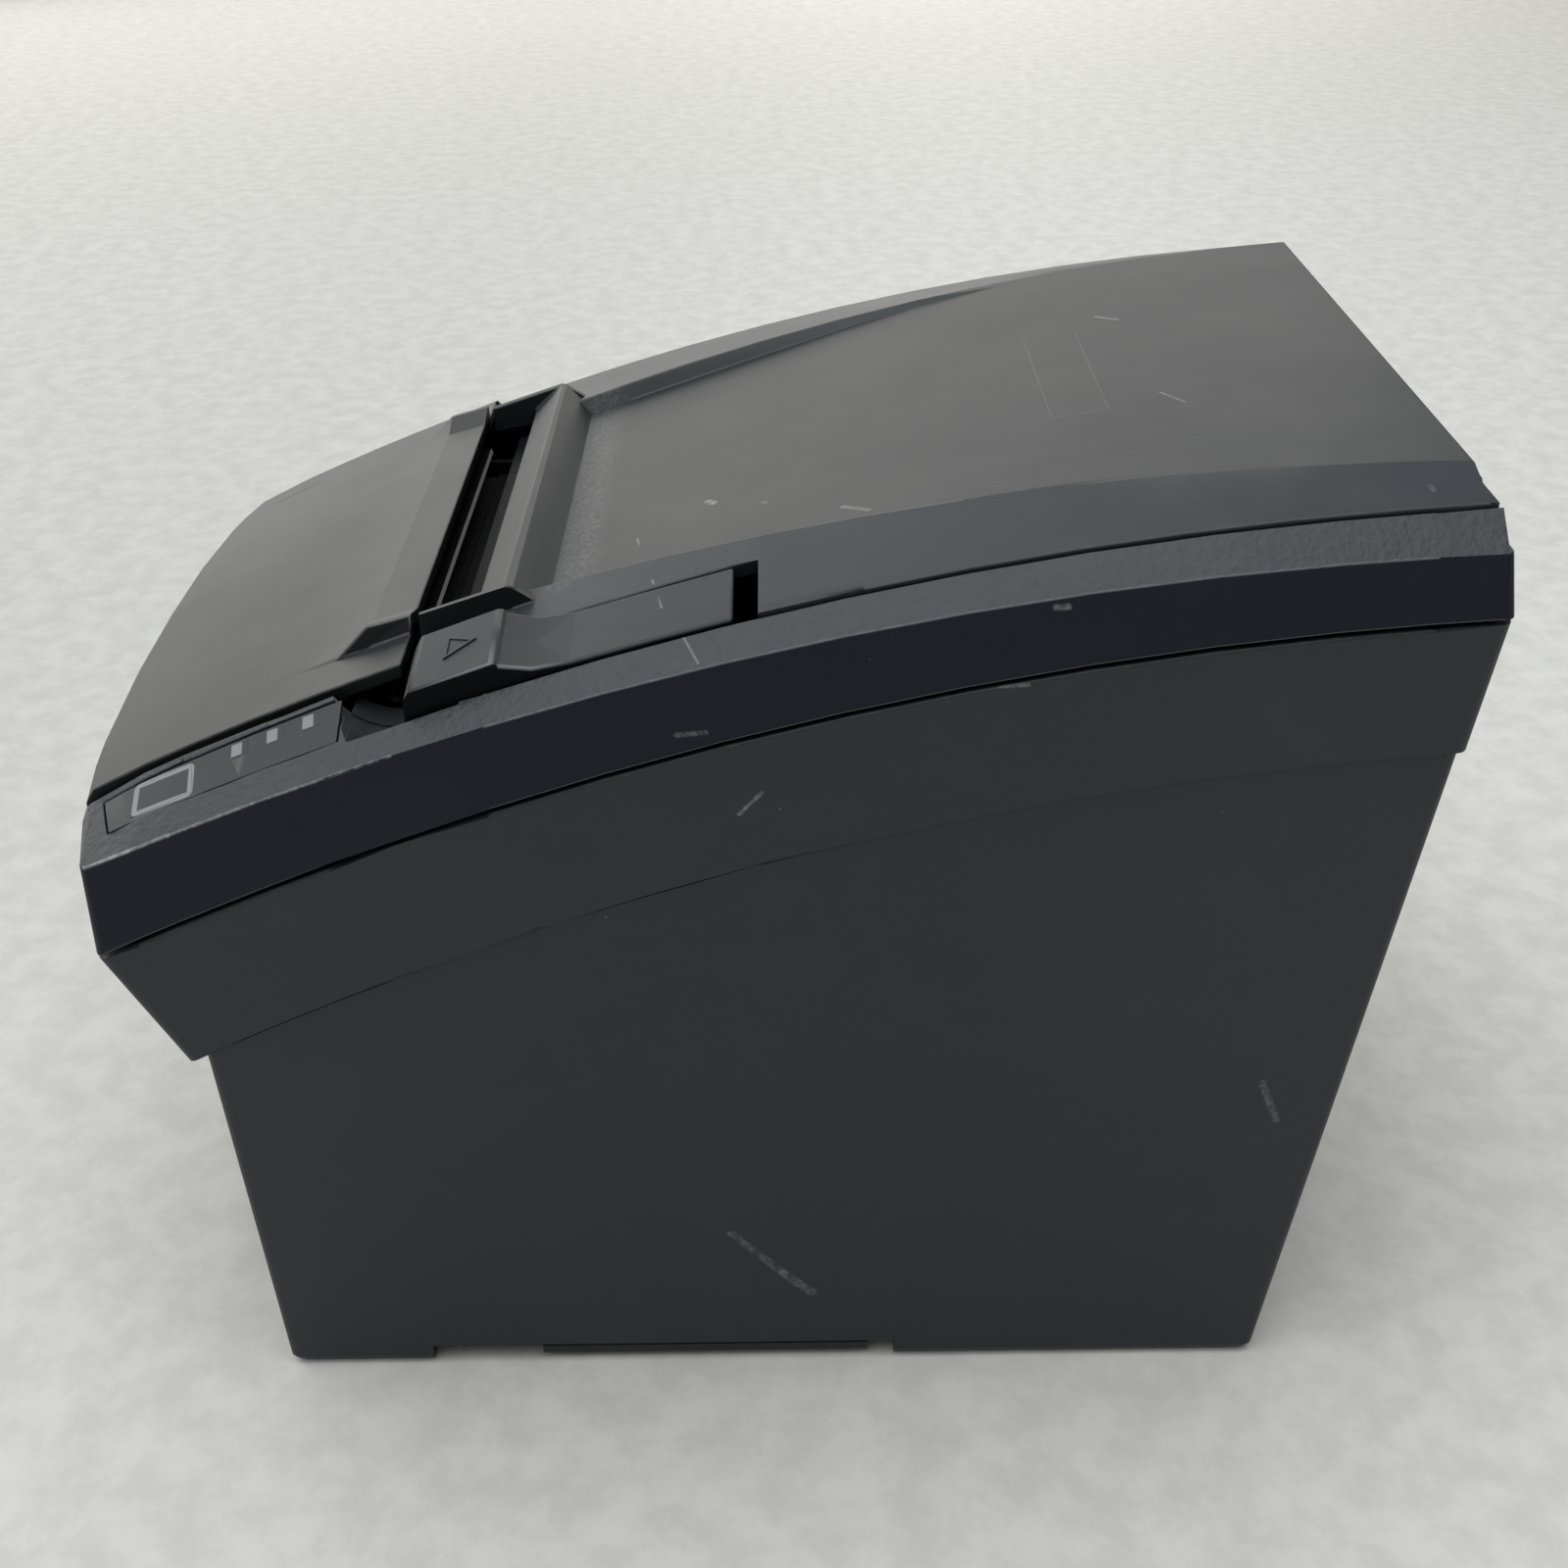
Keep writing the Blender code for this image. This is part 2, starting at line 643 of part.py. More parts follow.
tools = [
    strip_block("recess", PANEL_IN - FIT, PANEL_OUT + FIT,
                spread(PANEL_FRONT - FIT, PANEL_REAR + FIT, 12),
                lambda x, y: strip_z(x, y) + 0.003, 0.003 + PANEL_DROP + PANEL_T + FIT, PANEL_LEAD),
    rod("pocket", (DECK_X - 0.0020, POCKET_Y, strip_z(STRIP_X, POCKET_Y) + 0.0065),
        (STRIP_X + 0.0004, POCKET_Y, strip_z(STRIP_X, POCKET_Y) + 0.0065), POCKET_R, steps=32),
    panel_hole("button_hole", button_frame, BUTTON_HALF_X, BUTTON_HALF_Y),
]
tools += [panel_hole("led_hole", frame, LED_HALF, LED_HALF) for frame in led_frames]
tools += [rod("pin_hole", (side * (LUG_IN - 0.002), HINGE_Y, HINGE_Z),
              (side * (LUG_OUT + 0.002), HINGE_Y, HINGE_Z), PIN_R + RUN) for side in (-1, 1)]
combine(upper_case, tools)

control_panel = strip_block("control_panel", PANEL_IN, PANEL_OUT, spread(PANEL_FRONT, PANEL_REAR, 12),
                            lambda x, y: strip_z(x, y) - PANEL_DROP, PANEL_T, PANEL_LEAD)
control_panel.data.materials.append(DARK)
tools = [panel_hole("button_hole", button_frame, BUTTON_HALF_X, BUTTON_HALF_Y)]
tools += [panel_hole("led_hole", frame, LED_HALF, LED_HALF) for frame in led_frames]
combine(control_panel, tools)
feed_button = local_box("feed_button", button_frame,
                        (-BUTTON_HALF_X, -BUTTON_HALF_Y, -0.0050),
                        (BUTTON_HALF_X, BUTTON_HALF_Y, 0.0001), DARK)
for tag, frame in zip(("power", "error", "paper"), led_frames):
    local_box("lens_" + tag, frame, (-LED_HALF, -LED_HALF, -0.0040), (LED_HALF, LED_HALF, -0.0001), LENS)

# Front cover over the cutter: crowned sheet with a mitred ridge at the slot
HATCH_X = DECK_X - 0.0010
RIDGE_FLAT = HALF_PAPER - 0.0002
RAIL_FOOT = HALF_PAPER + 0.0070
RAIL_OUT = HALF_PAPER + 0.0062
RAIL_IN = HALF_PAPER + 0.0050
RAIL_RISE = 0.0015
RAIL_WALL = 0.0012
RIDGE_CLIMB = 0.0018
BEVEL_Y = HATCH_REAR_Y - 0.0110
FLAT_Y = HATCH_REAR_Y - 0.0066
FRONT_ROUND = 0.0014


def hatch_front(x):
    return FRONT_Y + 0.0008 - bow(x)


def hatch_top(x, y):
    crown = HATCH_CROWN * (1 - 0.65 * smooth(FRONT_Y, BEVEL_Y, y))
    height = hatch_z(y) + crown * (1 - (x / HATCH_X) ** 2) - fall(y)
    height -= HATCH_NOSE * nose(y - hatch_front(x))
    if y > BEVEL_Y + 0.0001:
        height = hatch_z(y)
        if abs(x) < RAIL_OUT + 0.0001:
            height = hatch_z(BEVEL_Y) + 0.0034 + RIDGE_CLIMB * (y - FLAT_Y) / (HATCH_REAR_Y - FLAT_Y)
        if RAIL_IN - 0.0001 < abs(x) < RAIL_OUT + 0.0001:
            height += RAIL_RISE
    return height


columns = [HATCH_X, RAIL_FOOT, RAIL_OUT, RAIL_IN, RIDGE_FLAT, RIDGE_FLAT / 2, 0]
columns = columns + [-x for x in reversed(columns[:-1])]
rows = []
for share in (0, 0.035, 0.12, 0.3, 0.5, 0.7, 0.85, 1):
    rows.append([(x, hatch_front(x) + (BEVEL_Y - hatch_front(x)) * share) for x in columns])
rows.append([(x, FLAT_Y) for x in columns])
rows.append([(x, HATCH_REAR_Y) for x in columns])
top = [[(x, y, hatch_top(x, y)) for x, y in row] for row in rows]


def under_rail(x):
    return math.copysign(abs(x) - RAIL_WALL, x) if RAIL_IN - 0.0001 < abs(x) < RAIL_FOOT + 0.0001 else x


bottom = [[(under_rail(x), y, z - SKIN) for x, y, z in row] for row in top]
top[0] = [(x, y, z - FRONT_ROUND) for x, y, z in top[0]]
front_cover = slab("front_cover", top, bottom, LID)
tear_y = HATCH_REAR_Y - 0.0002
tear_z = hatch_top(0, HATCH_REAR_Y) - SKIN - FIT
teeth = [(HALF_PAPER, tear_y - 0.005)]
for i in range(33):
    teeth.append((HALF_PAPER - PAPER * i / 32, tear_y - (0.0008 if i % 2 else 0)))
teeth.append((-HALF_PAPER, tear_y - 0.005))
TEAR_FALL = RIDGE_CLIMB / (HATCH_REAR_Y - FLAT_Y)
loft("tear_bar", [[(x, y, tear_z + TEAR_FALL * (y - HATCH_REAR_Y) - drop) for x, y in teeth]
                  for drop in (0, 0.0008)], STEEL)

# Paper cover: scooped sheet between two crests, with a ridge behind the slot
COVER_FRONT = RIDGE_Y - 0.0118
COVER_REAR = REAR_Y - 0.0021
COVER_SKIRT = 0.0050
BLADE_HALF = HALF_PAPER + 0.0042
SLOT_HALF = BLADE_HALF + FIT
CHEEK_T = 0.0012
CHEEK_OUT = SLOT_HALF + CHEEK_T
CHEEK_FRONT = HATCH_REAR_Y + 0.0011
KNUCKLE_R = 0.0025
stations = [COVER_FRONT, RIDGE_Y - 0.0058, RIDGE_Y - 0.0003, CREST_START, CREST_START + 0.0070]
stations += spread(CREST_START + 0.0170, REAR_Y - 0.0285, 6)
stations += [REAR_Y - 0.0145, REAR_Y - 0.0105, REAR_Y - 0.0047, REAR_Y - 0.0046, REAR_Y - 0.0032, COVER_REAR]
top = []
bottom = []
for y in stations:
    half = crest_x(y)
    xs = [COVER_X, COVER_X - 0.0019, COVER_X - 0.0020, half, half - 0.0016, half / 2, 0]
    upper = [cover_edge_z(y), chamfer_z(xs[1], y), chamfer_z(xs[2], y), crest_z(y)] + [floor_z(y)] * 3
    lower = [z - SKIN for z in upper]
    if y < REAR_Y - 0.0110:
        lower[0] = upper[0] - COVER_SKIRT
        lower[1] = upper[0] - COVER_SKIRT
    if y > COVER_REAR - 0.0001:
        upper = [cover_edge_z(y)] * len(xs)
    if y > REAR_Y - 0.00465:
        lower = [HINGE_Z - 0.0020] * len(xs)
    for grid, heights in ((top, upper), (bottom, lower)):
        inner_y = min(y, CHEEK_FRONT) if y < COVER_FRONT + 0.0001 else y
        right = [(x, inner_y if x < half + 0.0001 else y, z) for x, z in zip(xs, heights)]
        grid.append(right + [(-x, y, z) for x, y, z in right[-2::-1]])
paper_cover = slab("paper_cover", top, bottom, LID)
MOUTH_HALF = SLOT_HALF + CHEEK_T / 2
combine(paper_cover, [box("mouth", (-MOUTH_HALF, RIDGE_Y - 0.036, 0.080),
                          (MOUTH_HALF, RIDGE_Y + 0.0012, 0.160))])
LIP_Y = RIDGE_Y - 0.0050
RIDGE_FOOT = RIDGE_Y + 0.0060
LIP_Z = RIDGE_TOP - 0.0067
tools = [prism("ridge", [(LIP_Y, LIP_Z), (LIP_Y, RIDGE_TOP - 0.0042), (RIDGE_Y - 0.0004, RIDGE_TOP),
                         (RIDGE_Y + 0.0006, RIDGE_TOP), (RIDGE_FOOT, floor_z(RIDGE_FOOT) - 0.0009),
                         (RIDGE_Y + 0.0022, LIP_Z)],
               -CHEEK_OUT + 0.0003, CHEEK_OUT - 0.0003)]
for side in (-1, 1):
    low = min(side * SLOT_HALF, side * CHEEK_OUT)
    high = max(side * SLOT_HALF, side * CHEEK_OUT)
    tools.append(prism("cheek", [(CHEEK_FRONT, LIP_Z - 0.0017), (CHEEK_FRONT, RIDGE_TOP - 0.0041),
                                 (RIDGE_Y - 0.0004, RIDGE_TOP), (RIDGE_Y + 0.0005, RIDGE_TOP - 0.0001),
                                 (RIDGE_Y + 0.0041, RIDGE_TOP - 0.0024),
                                 (RIDGE_Y + 0.0041, RIDGE_TOP - 0.0060),
                                 (RIDGE_Y - 0.0038, LIP_Z - 0.0003)], low, high))
    low = min(side * (COVER_X - 0.0114), side * (LUG_IN - 0.0006))
    high = max(side * (COVER_X - 0.0114), side * (LUG_IN - 0.0006))
    turn = [math.pi + math.pi * i / 10 for i in range(11)]
    knuckle = [(HINGE_Y + KNUCKLE_R * math.cos(a), HINGE_Z + KNUCKLE_R * math.sin(a)) for a in turn]
    knuckle += [(HINGE_Y + 0.0012, crest_z(HINGE_Y) - 0.0013),
                (HINGE_Y - KNUCKLE_R, crest_z(HINGE_Y) - 0.0012)]
    tools.append(prism("knuckle", knuckle, low, high))
combine(paper_cover, tools, "UNION")
tools = [box("lever_slot", (LEVER_IN - FIT, LEVER_FRONT - 0.025, 0.080),
             (HALF, LEVER_REAR + LEVER_TRAVEL + FIT, 0.170))]
for side in (-1, 1):
    low = min(side * (LUG_IN - FIT), side * (LUG_OUT + FIT))
    high = max(side * (LUG_IN - FIT), side * (LUG_OUT + FIT))
    tools.append(box("lug_notch", (low, HINGE_Y - 0.0060, HINGE_Z - 0.006),
                     (high, REAR_Y + 0.003, HINGE_Z + LUG_R + 0.0005)))
    tools.append(rod("pin_hole", (side * (COVER_X - 0.0150), HINGE_Y, HINGE_Z),
                     (side * (COVER_X - 0.0010), HINGE_Y, HINGE_Z), PIN_R + PIN_GAP))
combine(paper_cover, tools)
for tag, side in (("left", -1), ("right", 1)):
    rod("hinge_pin_" + tag, (side * (COVER_X - 0.0110), HINGE_Y, HINGE_Z),
        (side * (LUG_OUT - 0.0002), HINGE_Y, HINGE_Z), PIN_R, STEEL)

# Cover lever with its latch arm
ARM_FRONT = RIDGE_Y + 0.0042
ARM_REAR = RIDGE_Y + 0.0102
rises = [(LEVER_FRONT, 0.0020), (LEVER_FRONT + 0.0010, 0.0032), (RIDGE_Y - 0.0002, 0.0034),
         (RIDGE_Y + 0.0008, 0.0026), (CREST_START, 0.0008), (ARM_REAR, 0.0001), (ARM_REAR + 0.0120, 0.0),
         (LEVER_REAR, 0.0)]
xs = [LEVER_OUT, (LEVER_OUT + LEVER_IN) / 2, LEVER_IN]
top = [[(x, y, chamfer_z(x, y) + rise * (1 + 0.12 * i)) for i, x in enumerate(xs)] for y, rise in rises]
bottom = [[(x, y, lever_base(x, y)) for x in xs] for y, rise in rises]
cover_lever = slab("cover_lever", top, bottom, LID)
ARM_X = HALF_PAPER + 0.0045
ARM_IN = ARM_X + 0.0063
ARM_OUT = ARM_IN + 0.0012
TONGUE_IN = max(ARM_IN + 0.0035, LEVER_IN + 0.0020)
TONGUE_OUT = TONGUE_IN + 0.0040
TONGUE_DROP = 0.0020
TONGUE_T = 0.0022
HOOK_Y = PLATEN_Y + SHAFT_R + 0.0004
arm_top = lever_base(LEVER_IN, ARM_FRONT)
tongue_top = arm_top - TONGUE_DROP
hook_root = tongue_top - TONGUE_T - 0.0010
hook = [(HOOK_Y, PLATEN_Z - 0.0015), (HOOK_Y, PLATEN_Z + 0.0020), (ARM_FRONT + 0.0001, hook_root),
        (ARM_FRONT + 0.0001, tongue_top - 0.0010), (ARM_REAR - 0.0001, tongue_top - 0.0010),
        (ARM_REAR - 0.0001, hook_root), (HOOK_Y + 0.0050, PLATEN_Z - 0.0015)]
combine(cover_lever, [
    box("tongue", (ARM_IN, ARM_FRONT, tongue_top - TONGUE_T), (TONGUE_OUT, ARM_REAR, tongue_top)),
    box("root", (TONGUE_IN, ARM_FRONT + 0.0001, tongue_top - TONGUE_T + 0.0001),
        (TONGUE_OUT - 0.0001, ARM_REAR - 0.0001, arm_top + 0.0004)),
    prism("hook", hook, ARM_IN + 0.0001, ARM_OUT + 0.0001),
], "UNION")

# Platen and its holder under the paper cover
HOLDER_T = 0.0015
HOLDER_REAR = PLATEN_Y + 0.0095
holder = box("platen_holder", (-ARM_X - HOLDER_T, HOLDER_REAR - 0.0040, PLATEN_Z + 0.0082),
             (ARM_X + HOLDER_T, HOLDER_REAR, PLATEN_Z + 0.0097), STEEL)
tools = []
for side in (-1, 1):
    low = min(side * ARM_X, side * (ARM_X + HOLDER_T))
    tools.append(prism("arm", [(PLATEN_Y - 0.0055, PLATEN_Z - 0.0055), (PLATEN_Y - 0.0055, PLATEN_Z + 0.0070),
                               (HOLDER_REAR - 0.0045, PLATEN_Z + 0.0097), (HOLDER_REAR, PLATEN_Z + 0.0097),
                               (HOLDER_REAR, PLATEN_Z - 0.0055)], low, low + HOLDER_T))
combine(holder, tools, "UNION")
combine(holder, [rod("bush_hole", (-HALF, PLATEN_Y, PLATEN_Z), (HALF, PLATEN_Y, PLATEN_Z), BUSH_R + RUN)])
SHAFT_LEFT = -HALF_PAPER - 0.0178
SHAFT_RIGHT = HALF_PAPER + 0.0112
rod("platen_shaft", (SHAFT_LEFT, PLATEN_Y, PLATEN_Z), (SHAFT_RIGHT, PLATEN_Y, PLATEN_Z), SHAFT_R, STEEL)
rod("platen_rubber", (-HALF_PAPER - 0.0015, PLATEN_Y, PLATEN_Z), (HALF_PAPER + 0.0015, PLATEN_Y, PLATEN_Z),
    PLATEN_R, RUBBER, SHAFT_R + RUN, 32)
for tag, side in (("left", -1), ("right", 1)):
    rod("platen_bush_" + tag, (side * (ARM_X - 0.0003), PLATEN_Y, PLATEN_Z),
        (side * (ARM_X + 0.0058), PLATEN_Y, PLATEN_Z), BUSH_R, GEAR, SHAFT_R + RUN)

# Feed gear train on the left plate
GEAR_IN = PLATE_X + PLATE_T + 0.0015
GEAR_OUT = GEAR_IN + 0.0045
feed_gap = FEED_MODULE * (PLATEN_TEETH + IDLER_TEETH) / 2 + MESH_SLACK
idler_y = PLATEN_Y - 0.0035
idler_z = PLATEN_Z - math.sqrt(feed_gap ** 2 - 0.0035 ** 2)
drive_gap = FEED_MODULE * (PINION_TEETH + IDLER_TEETH) / 2 + MESH_SLACK
drive_y = idler_y - 0.0100
drive_z = idler_z - math.sqrt(drive_gap ** 2 - 0.0100 ** 2)
to_platen = math.atan2(PLATEN_Z - idler_z, PLATEN_Y - idler_y)
to_drive = math.atan2(drive_z - idler_z, drive_y - idler_y)
gear("idler_gear", IDLER_TEETH, FEED_MODULE, (idler_y, idler_z), -GEAR_OUT, -GEAR_IN, SHAFT_R + RUN, 0, GEAR)
gear("platen_gear", PLATEN_TEETH, FEED_MODULE, (PLATEN_Y, PLATEN_Z), -GEAR_OUT, -GEAR_IN, SHAFT_R + RUN,
     meshed_phase(0, IDLER_TEETH, to_platen, PLATEN_TEETH), GEAR)
motor_pinion = gear("motor_pinion", PINION_TEETH, FEED_MODULE, (drive_y, drive_z), -GEAR_OUT, -GEAR_IN, 0,
                    meshed_phase(0, IDLER_TEETH, to_drive, PINION_TEETH), STEEL)
combine(motor_pinion, [rod("shaft", (-GEAR_IN - 0.001, drive_y, drive_z),
                           (-PLATE_X + 0.0040, drive_y, drive_z), 0.0015)], "UNION")
rod("idler_stud", (-GEAR_OUT - 0.0008, idler_y, idler_z), (-PLATE_X - PLATE_T - FIT, idler_y, idler_z),
    SHAFT_R, STEEL)
MOTOR_R = 0.0140
feed_motor = rod("feed_motor", (-PLATE_X + FIT, drive_y, drive_z), (-PLATE_X + 0.0220, drive_y, drive_z),
                 MOTOR_R, STEEL, 0, 32)
combine(feed_motor, [rod("shaft_hole", (-PLATE_X - 0.002, drive_y, drive_z),
                         (-PLATE_X + 0.0060, drive_y, drive_z), 0.0015 + RUN)])

# Cutter, built in the plane that slopes up toward the slot
CUT_AXIS = Vector((0, math.cos(CUT_ANGLE), math.sin(CUT_ANGLE)))
CUT_NORMAL = Vector((0, -math.sin(CUT_ANGLE), math.cos(CUT_ANGLE)))
cut_frame = Matrix(((1, 0, 0, 0), (0, CUT_AXIS.y, CUT_NORMAL.y, CUT_Y),
                    (0, CUT_AXIS.z, CUT_NORMAL.z, CUT_Z), (0, 0, 0, 1)))
CRANK_X = -0.018
CRANK_S = -0.020
CRANK_R = CUT_TRAVEL / 2
CUT_PIN_R = 0.0012
PLATE_LOW = -0.0016
PLATE_HIGH = -0.0004


def cut_point(x, s, n=0.0):
    return cut_frame @ Vector((x, s, n))


def cut_rod(name, x, s, low, high, radius, mat=None, bore=0.0):
    return rod(name, cut_point(x, s, low), cut_point(x, s, high), radius, mat, bore)


moving_blade = local_box("moving_blade", cut_frame, (-HALF_PAPER, -0.030, 0),
                         (HALF_PAPER, -0.0001, 0.0008), STEEL)
PIN_SLOT_X = CRANK_R + CUT_PIN_R + 0.0006
PIN_SLOT_S = CUT_PIN_R + 0.0012
pin_slot = local_box("pin_slot", cut_frame, (CRANK_X - PIN_SLOT_X, CRANK_S - CRANK_R - PIN_SLOT_S, -0.002),
                     (CRANK_X + PIN_SLOT_X, CRANK_S - CRANK_R + PIN_SLOT_S, 0.003))
combine(moving_blade, [pin_slot])
local_box("fixed_blade", cut_frame, (-BLADE_HALF, 0.0045, -0.0011), (BLADE_HALF, 0.0110, -0.0004), STEEL)
cutter_frame = local_box("cutter_frame", cut_frame, (-PLATE_X + FIT, -0.036, PLATE_LOW),
                         (PLATE_X - FIT, -0.0045, PLATE_HIGH), STEEL)
sweep = [math.radians(-112 + 224 * i / 14) for i in range(15)]
ring_in = CRANK_R - CUT_PIN_R - 0.0003
ring_out = CRANK_R + CUT_PIN_R + 0.0003
path = [(CRANK_X + ring_out * math.cos(a), CRANK_S + ring_out * math.sin(a)) for a in sweep]
path += [(CRANK_X + ring_in * math.cos(a), CRANK_S + ring_in * math.sin(a)) for a in reversed(sweep)]
sweep_slot = loft("sweep_slot", [[cut_point(x, s, n) for x, s in path] for n in (-0.003, 0.001)], None)
axle_hole = cut_rod("axle_hole", CRANK_X, CRANK_S, -0.003, 0.001, 0.0010 + RUN)
combine(cutter_frame, [sweep_slot, axle_hole])
crank_frame = cut_frame @ Matrix.Translation((CRANK_X, CRANK_S, 0))
crank_gear = gear("crank_gear", CRANK_TEETH, CUT_MODULE, None, -0.0060, -0.0020, 0, 0, GEAR, crank_frame)
combine(crank_gear, [cut_rod("axle", CRANK_X, CRANK_S, -0.003, PLATE_HIGH, 0.0010),
                     cut_rod("pin", CRANK_X, CRANK_S - CRANK_R, -0.003, 0.0009, CUT_PIN_R)], "UNION")
pinion_gap = CUT_MODULE * (CRANK_TEETH + CUT_PINION_TEETH) / 2 + MESH_SLACK
pinion_angle = math.radians(-57)
pinion_x = CRANK_X + pinion_gap * math.cos(pinion_angle)
pinion_s = CRANK_S + pinion_gap * math.sin(pinion_angle)
pinion_frame = cut_frame @ Matrix.Translation((pinion_x, pinion_s, 0))
cutter_pinion = gear("cutter_pinion", CUT_PINION_TEETH, CUT_MODULE, None, -0.0060, -0.0020, 0,
                     meshed_phase(0, CRANK_TEETH, pinion_angle, CUT_PINION_TEETH), STEEL, pinion_frame)
combine(cutter_pinion, [cut_rod("shaft", pinion_x, pinion_s, -0.0100, -0.0050, 0.0010)], "UNION")
cutter_motor = cut_rod("cutter_motor", pinion_x, pinion_s, -0.0220, -0.0063, 0.0065, STEEL)
combine(cutter_motor, [cut_rod("shaft_hole", pinion_x, pinion_s, -0.0110, -0.005, 0.0010 + RUN)])

# Mechanism frame, print head and spring-loaded heat sink
FRAME_FRONT = PLATEN_Y - 0.0335
FRAME_REAR = PLATEN_Y + 0.0165
FRAME_TOP = PLATEN_Z + 0.0030
slope = math.tan(CUT_ANGLE)


def under_cutter(y):
    return CUT_Z + slope * (y - CUT_Y) + (PLATE_LOW - FIT) / math.cos(CUT_ANGLE)


shape = [(FRAME_FRONT, FLOOR_TOP + FIT), (FRAME_REAR, FLOOR_TOP + FIT), (FRAME_REAR, FRAME_TOP),
         (PLATEN_Y - 0.0140, FRAME_TOP), (PLATEN_Y - 0.0160, under_cutter(PLATEN_Y - 0.0160)),
         (FRAME_FRONT, under_cutter(FRAME_FRONT))]
frame = prism("mechanism_frame", shape, -PLATE_X - PLATE_T, -PLATE_X, STEEL)
CROSS_Y = PLATEN_Y - 0.0228
tools = [prism("right_plate", shape, PLATE_X, PLATE_X + PLATE_T),
         box("cross", (-PLATE_X - 0.0005, CROSS_Y, PLATEN_Z - 0.0205),
             (PLATE_X + 0.0005, CROSS_Y + PLATE_T, PLATEN_Z - 0.0040)),
         box("base", (-PLATE_X - 0.0005, FRAME_FRONT + 0.001, PLATEN_Z - 0.0515),
             (PLATE_X + 0.0005, FRAME_REAR - 0.001, PLATEN_Z - 0.0500))]
combine(frame, tools, "UNION")
tools = [rod("notch", (-HALF, PLATEN_Y, PLATEN_Z), (HALF, PLATEN_Y, PLATEN_Z), 0.0049),
         box("notch_top", (-HALF, PLATEN_Y - 0.0049, PLATEN_Z), (HALF, PLATEN_Y + 0.0049, PLATEN_Z + 0.02)),
         rod("pinion_hole", (-PLATE_X - 0.003, drive_y, drive_z), (-PLATE_X + 0.003, drive_y, drive_z),
             0.0035)]
combine(frame, tools)
HEAD_Y = PLATEN_Y - PLATEN_R - 0.0006
box("print_head", (-HALF_PAPER - 0.0020, HEAD_Y - 0.0030, PLATEN_Z - 0.0090),
    (HALF_PAPER + 0.0020, HEAD_Y, PLATEN_Z + 0.0030), PRINT)
SINK_Y = HEAD_Y - 0.0030 - FIT
fins = [(SINK_Y, PLATEN_Z - 0.0185), (SINK_Y, PLATEN_Z + 0.0025)]
for i in range(4):
    z = PLATEN_Z + 0.0025 - i * 0.0055
    fins += [(SINK_Y - 0.0040, z), (SINK_Y - 0.0040, z - 0.0030)]
    fins += [(SINK_Y - 0.0022, z - 0.0030), (SINK_Y - 0.0022, z - 0.0055)]
fins = fins[:-2]
fins += [(SINK_Y - 0.0040, PLATEN_Z - 0.0185)]
prism("heat_sink", fins, -HALF_PAPER - 0.0020, HALF_PAPER + 0.0020, ALLOY)
for tag, x in (("left", -0.026), ("right", 0.026)):
    z = PLATEN_Z - 0.0098
    coil("head_spring_" + tag, (x, SINK_Y - 0.0040 - FIT, z), (x, CROSS_Y + PLATE_T + FIT, z),
         0.0024, 0.0003, 4, STEEL)
WELL_FRONT_Y = PLATEN_Y + WELL_BACK
WELL_REAR_Y = TUB_REAR + WELL_REAR_LEAN
ROLL_R = (WELL_REAR_Y - WELL_FRONT_Y) / 2 - WELL_WALL
GUIDE_REAR = WELL_FRONT_Y - 0.0015
guide = [(GUIDE_REAR, PLATEN_Z - 0.0105), (PLATEN_Y + 0.0050, PLATEN_Z - 0.0072),
         (PLATEN_Y + 0.0050, PLATEN_Z - 0.0084), (GUIDE_REAR, PLATEN_Z - 0.0117)]
prism("paper_guide", guide, -PLATE_X + FIT, PLATE_X - FIT, STEEL)
sensor_z = PLATEN_Z - 0.0082 + FIT
box("paper_end_sensor", (0.016, PLATEN_Y + 0.0100, sensor_z),
    (0.022, PLATEN_Y + 0.0150, sensor_z + 0.0022), DARK)

# Paper well
WELL_Y = (WELL_FRONT_Y + WELL_REAR_Y) / 2
WELL_Z = BOARD_Z + BOARD_T + WELL_CLEAR + WELL_WALL + ROLL_R
WELL_TOP = PLATEN_Z - 0.0065
WELL_X = HALF_PAPER + 0.0010


def trough(radius, top):
    turn = [math.pi + math.pi * i / 20 for i in range(21)]
    points = [(WELL_Y + radius * math.cos(a), WELL_Z + radius * math.sin(a)) for a in turn]
    return points + [(WELL_Y + radius, top), (WELL_Y - radius, top)]


WELL_OUT = WELL_X + WELL_WALL
paper_well = prism("paper_well", trough(ROLL_R + WELL_WALL, WELL_TOP), -WELL_OUT, WELL_OUT, DARK)
FLANGE_X = HALF - 0.0049
combine(paper_well, [box("flange", (-FLANGE_X, WELL_FRONT_Y + 0.0001, WELL_TOP - WELL_WALL),
                         (FLANGE_X, WELL_REAR_Y - 0.0001, WELL_TOP))], "UNION")
combine(paper_well, [prism("hollow", trough(ROLL_R, WELL_TOP + 0.02), -WELL_X, WELL_X)])
box("near_end_sensor", (WELL_OUT + FIT, WELL_Y - 0.0130, WELL_Z - 0.0270),
    (WELL_OUT + 0.0060, WELL_Y - 0.0010, WELL_Z - 0.0170), DARK)

# Main board, rear interface panel and sockets
box("main_board", (-BOARD_X, BOARD_FRONT, BOARD_Z), (BOARD_X, BOARD_REAR, BOARD_Z + BOARD_T), BOARD)
rear_lean = (STEP_REAR - TUB_REAR) / (skirt_z(STEP_REAR) - EDGE_Z)


def rear_face(z):
    return TUB_REAR + rear_lean * (z - EDGE_Z) - 0.0006


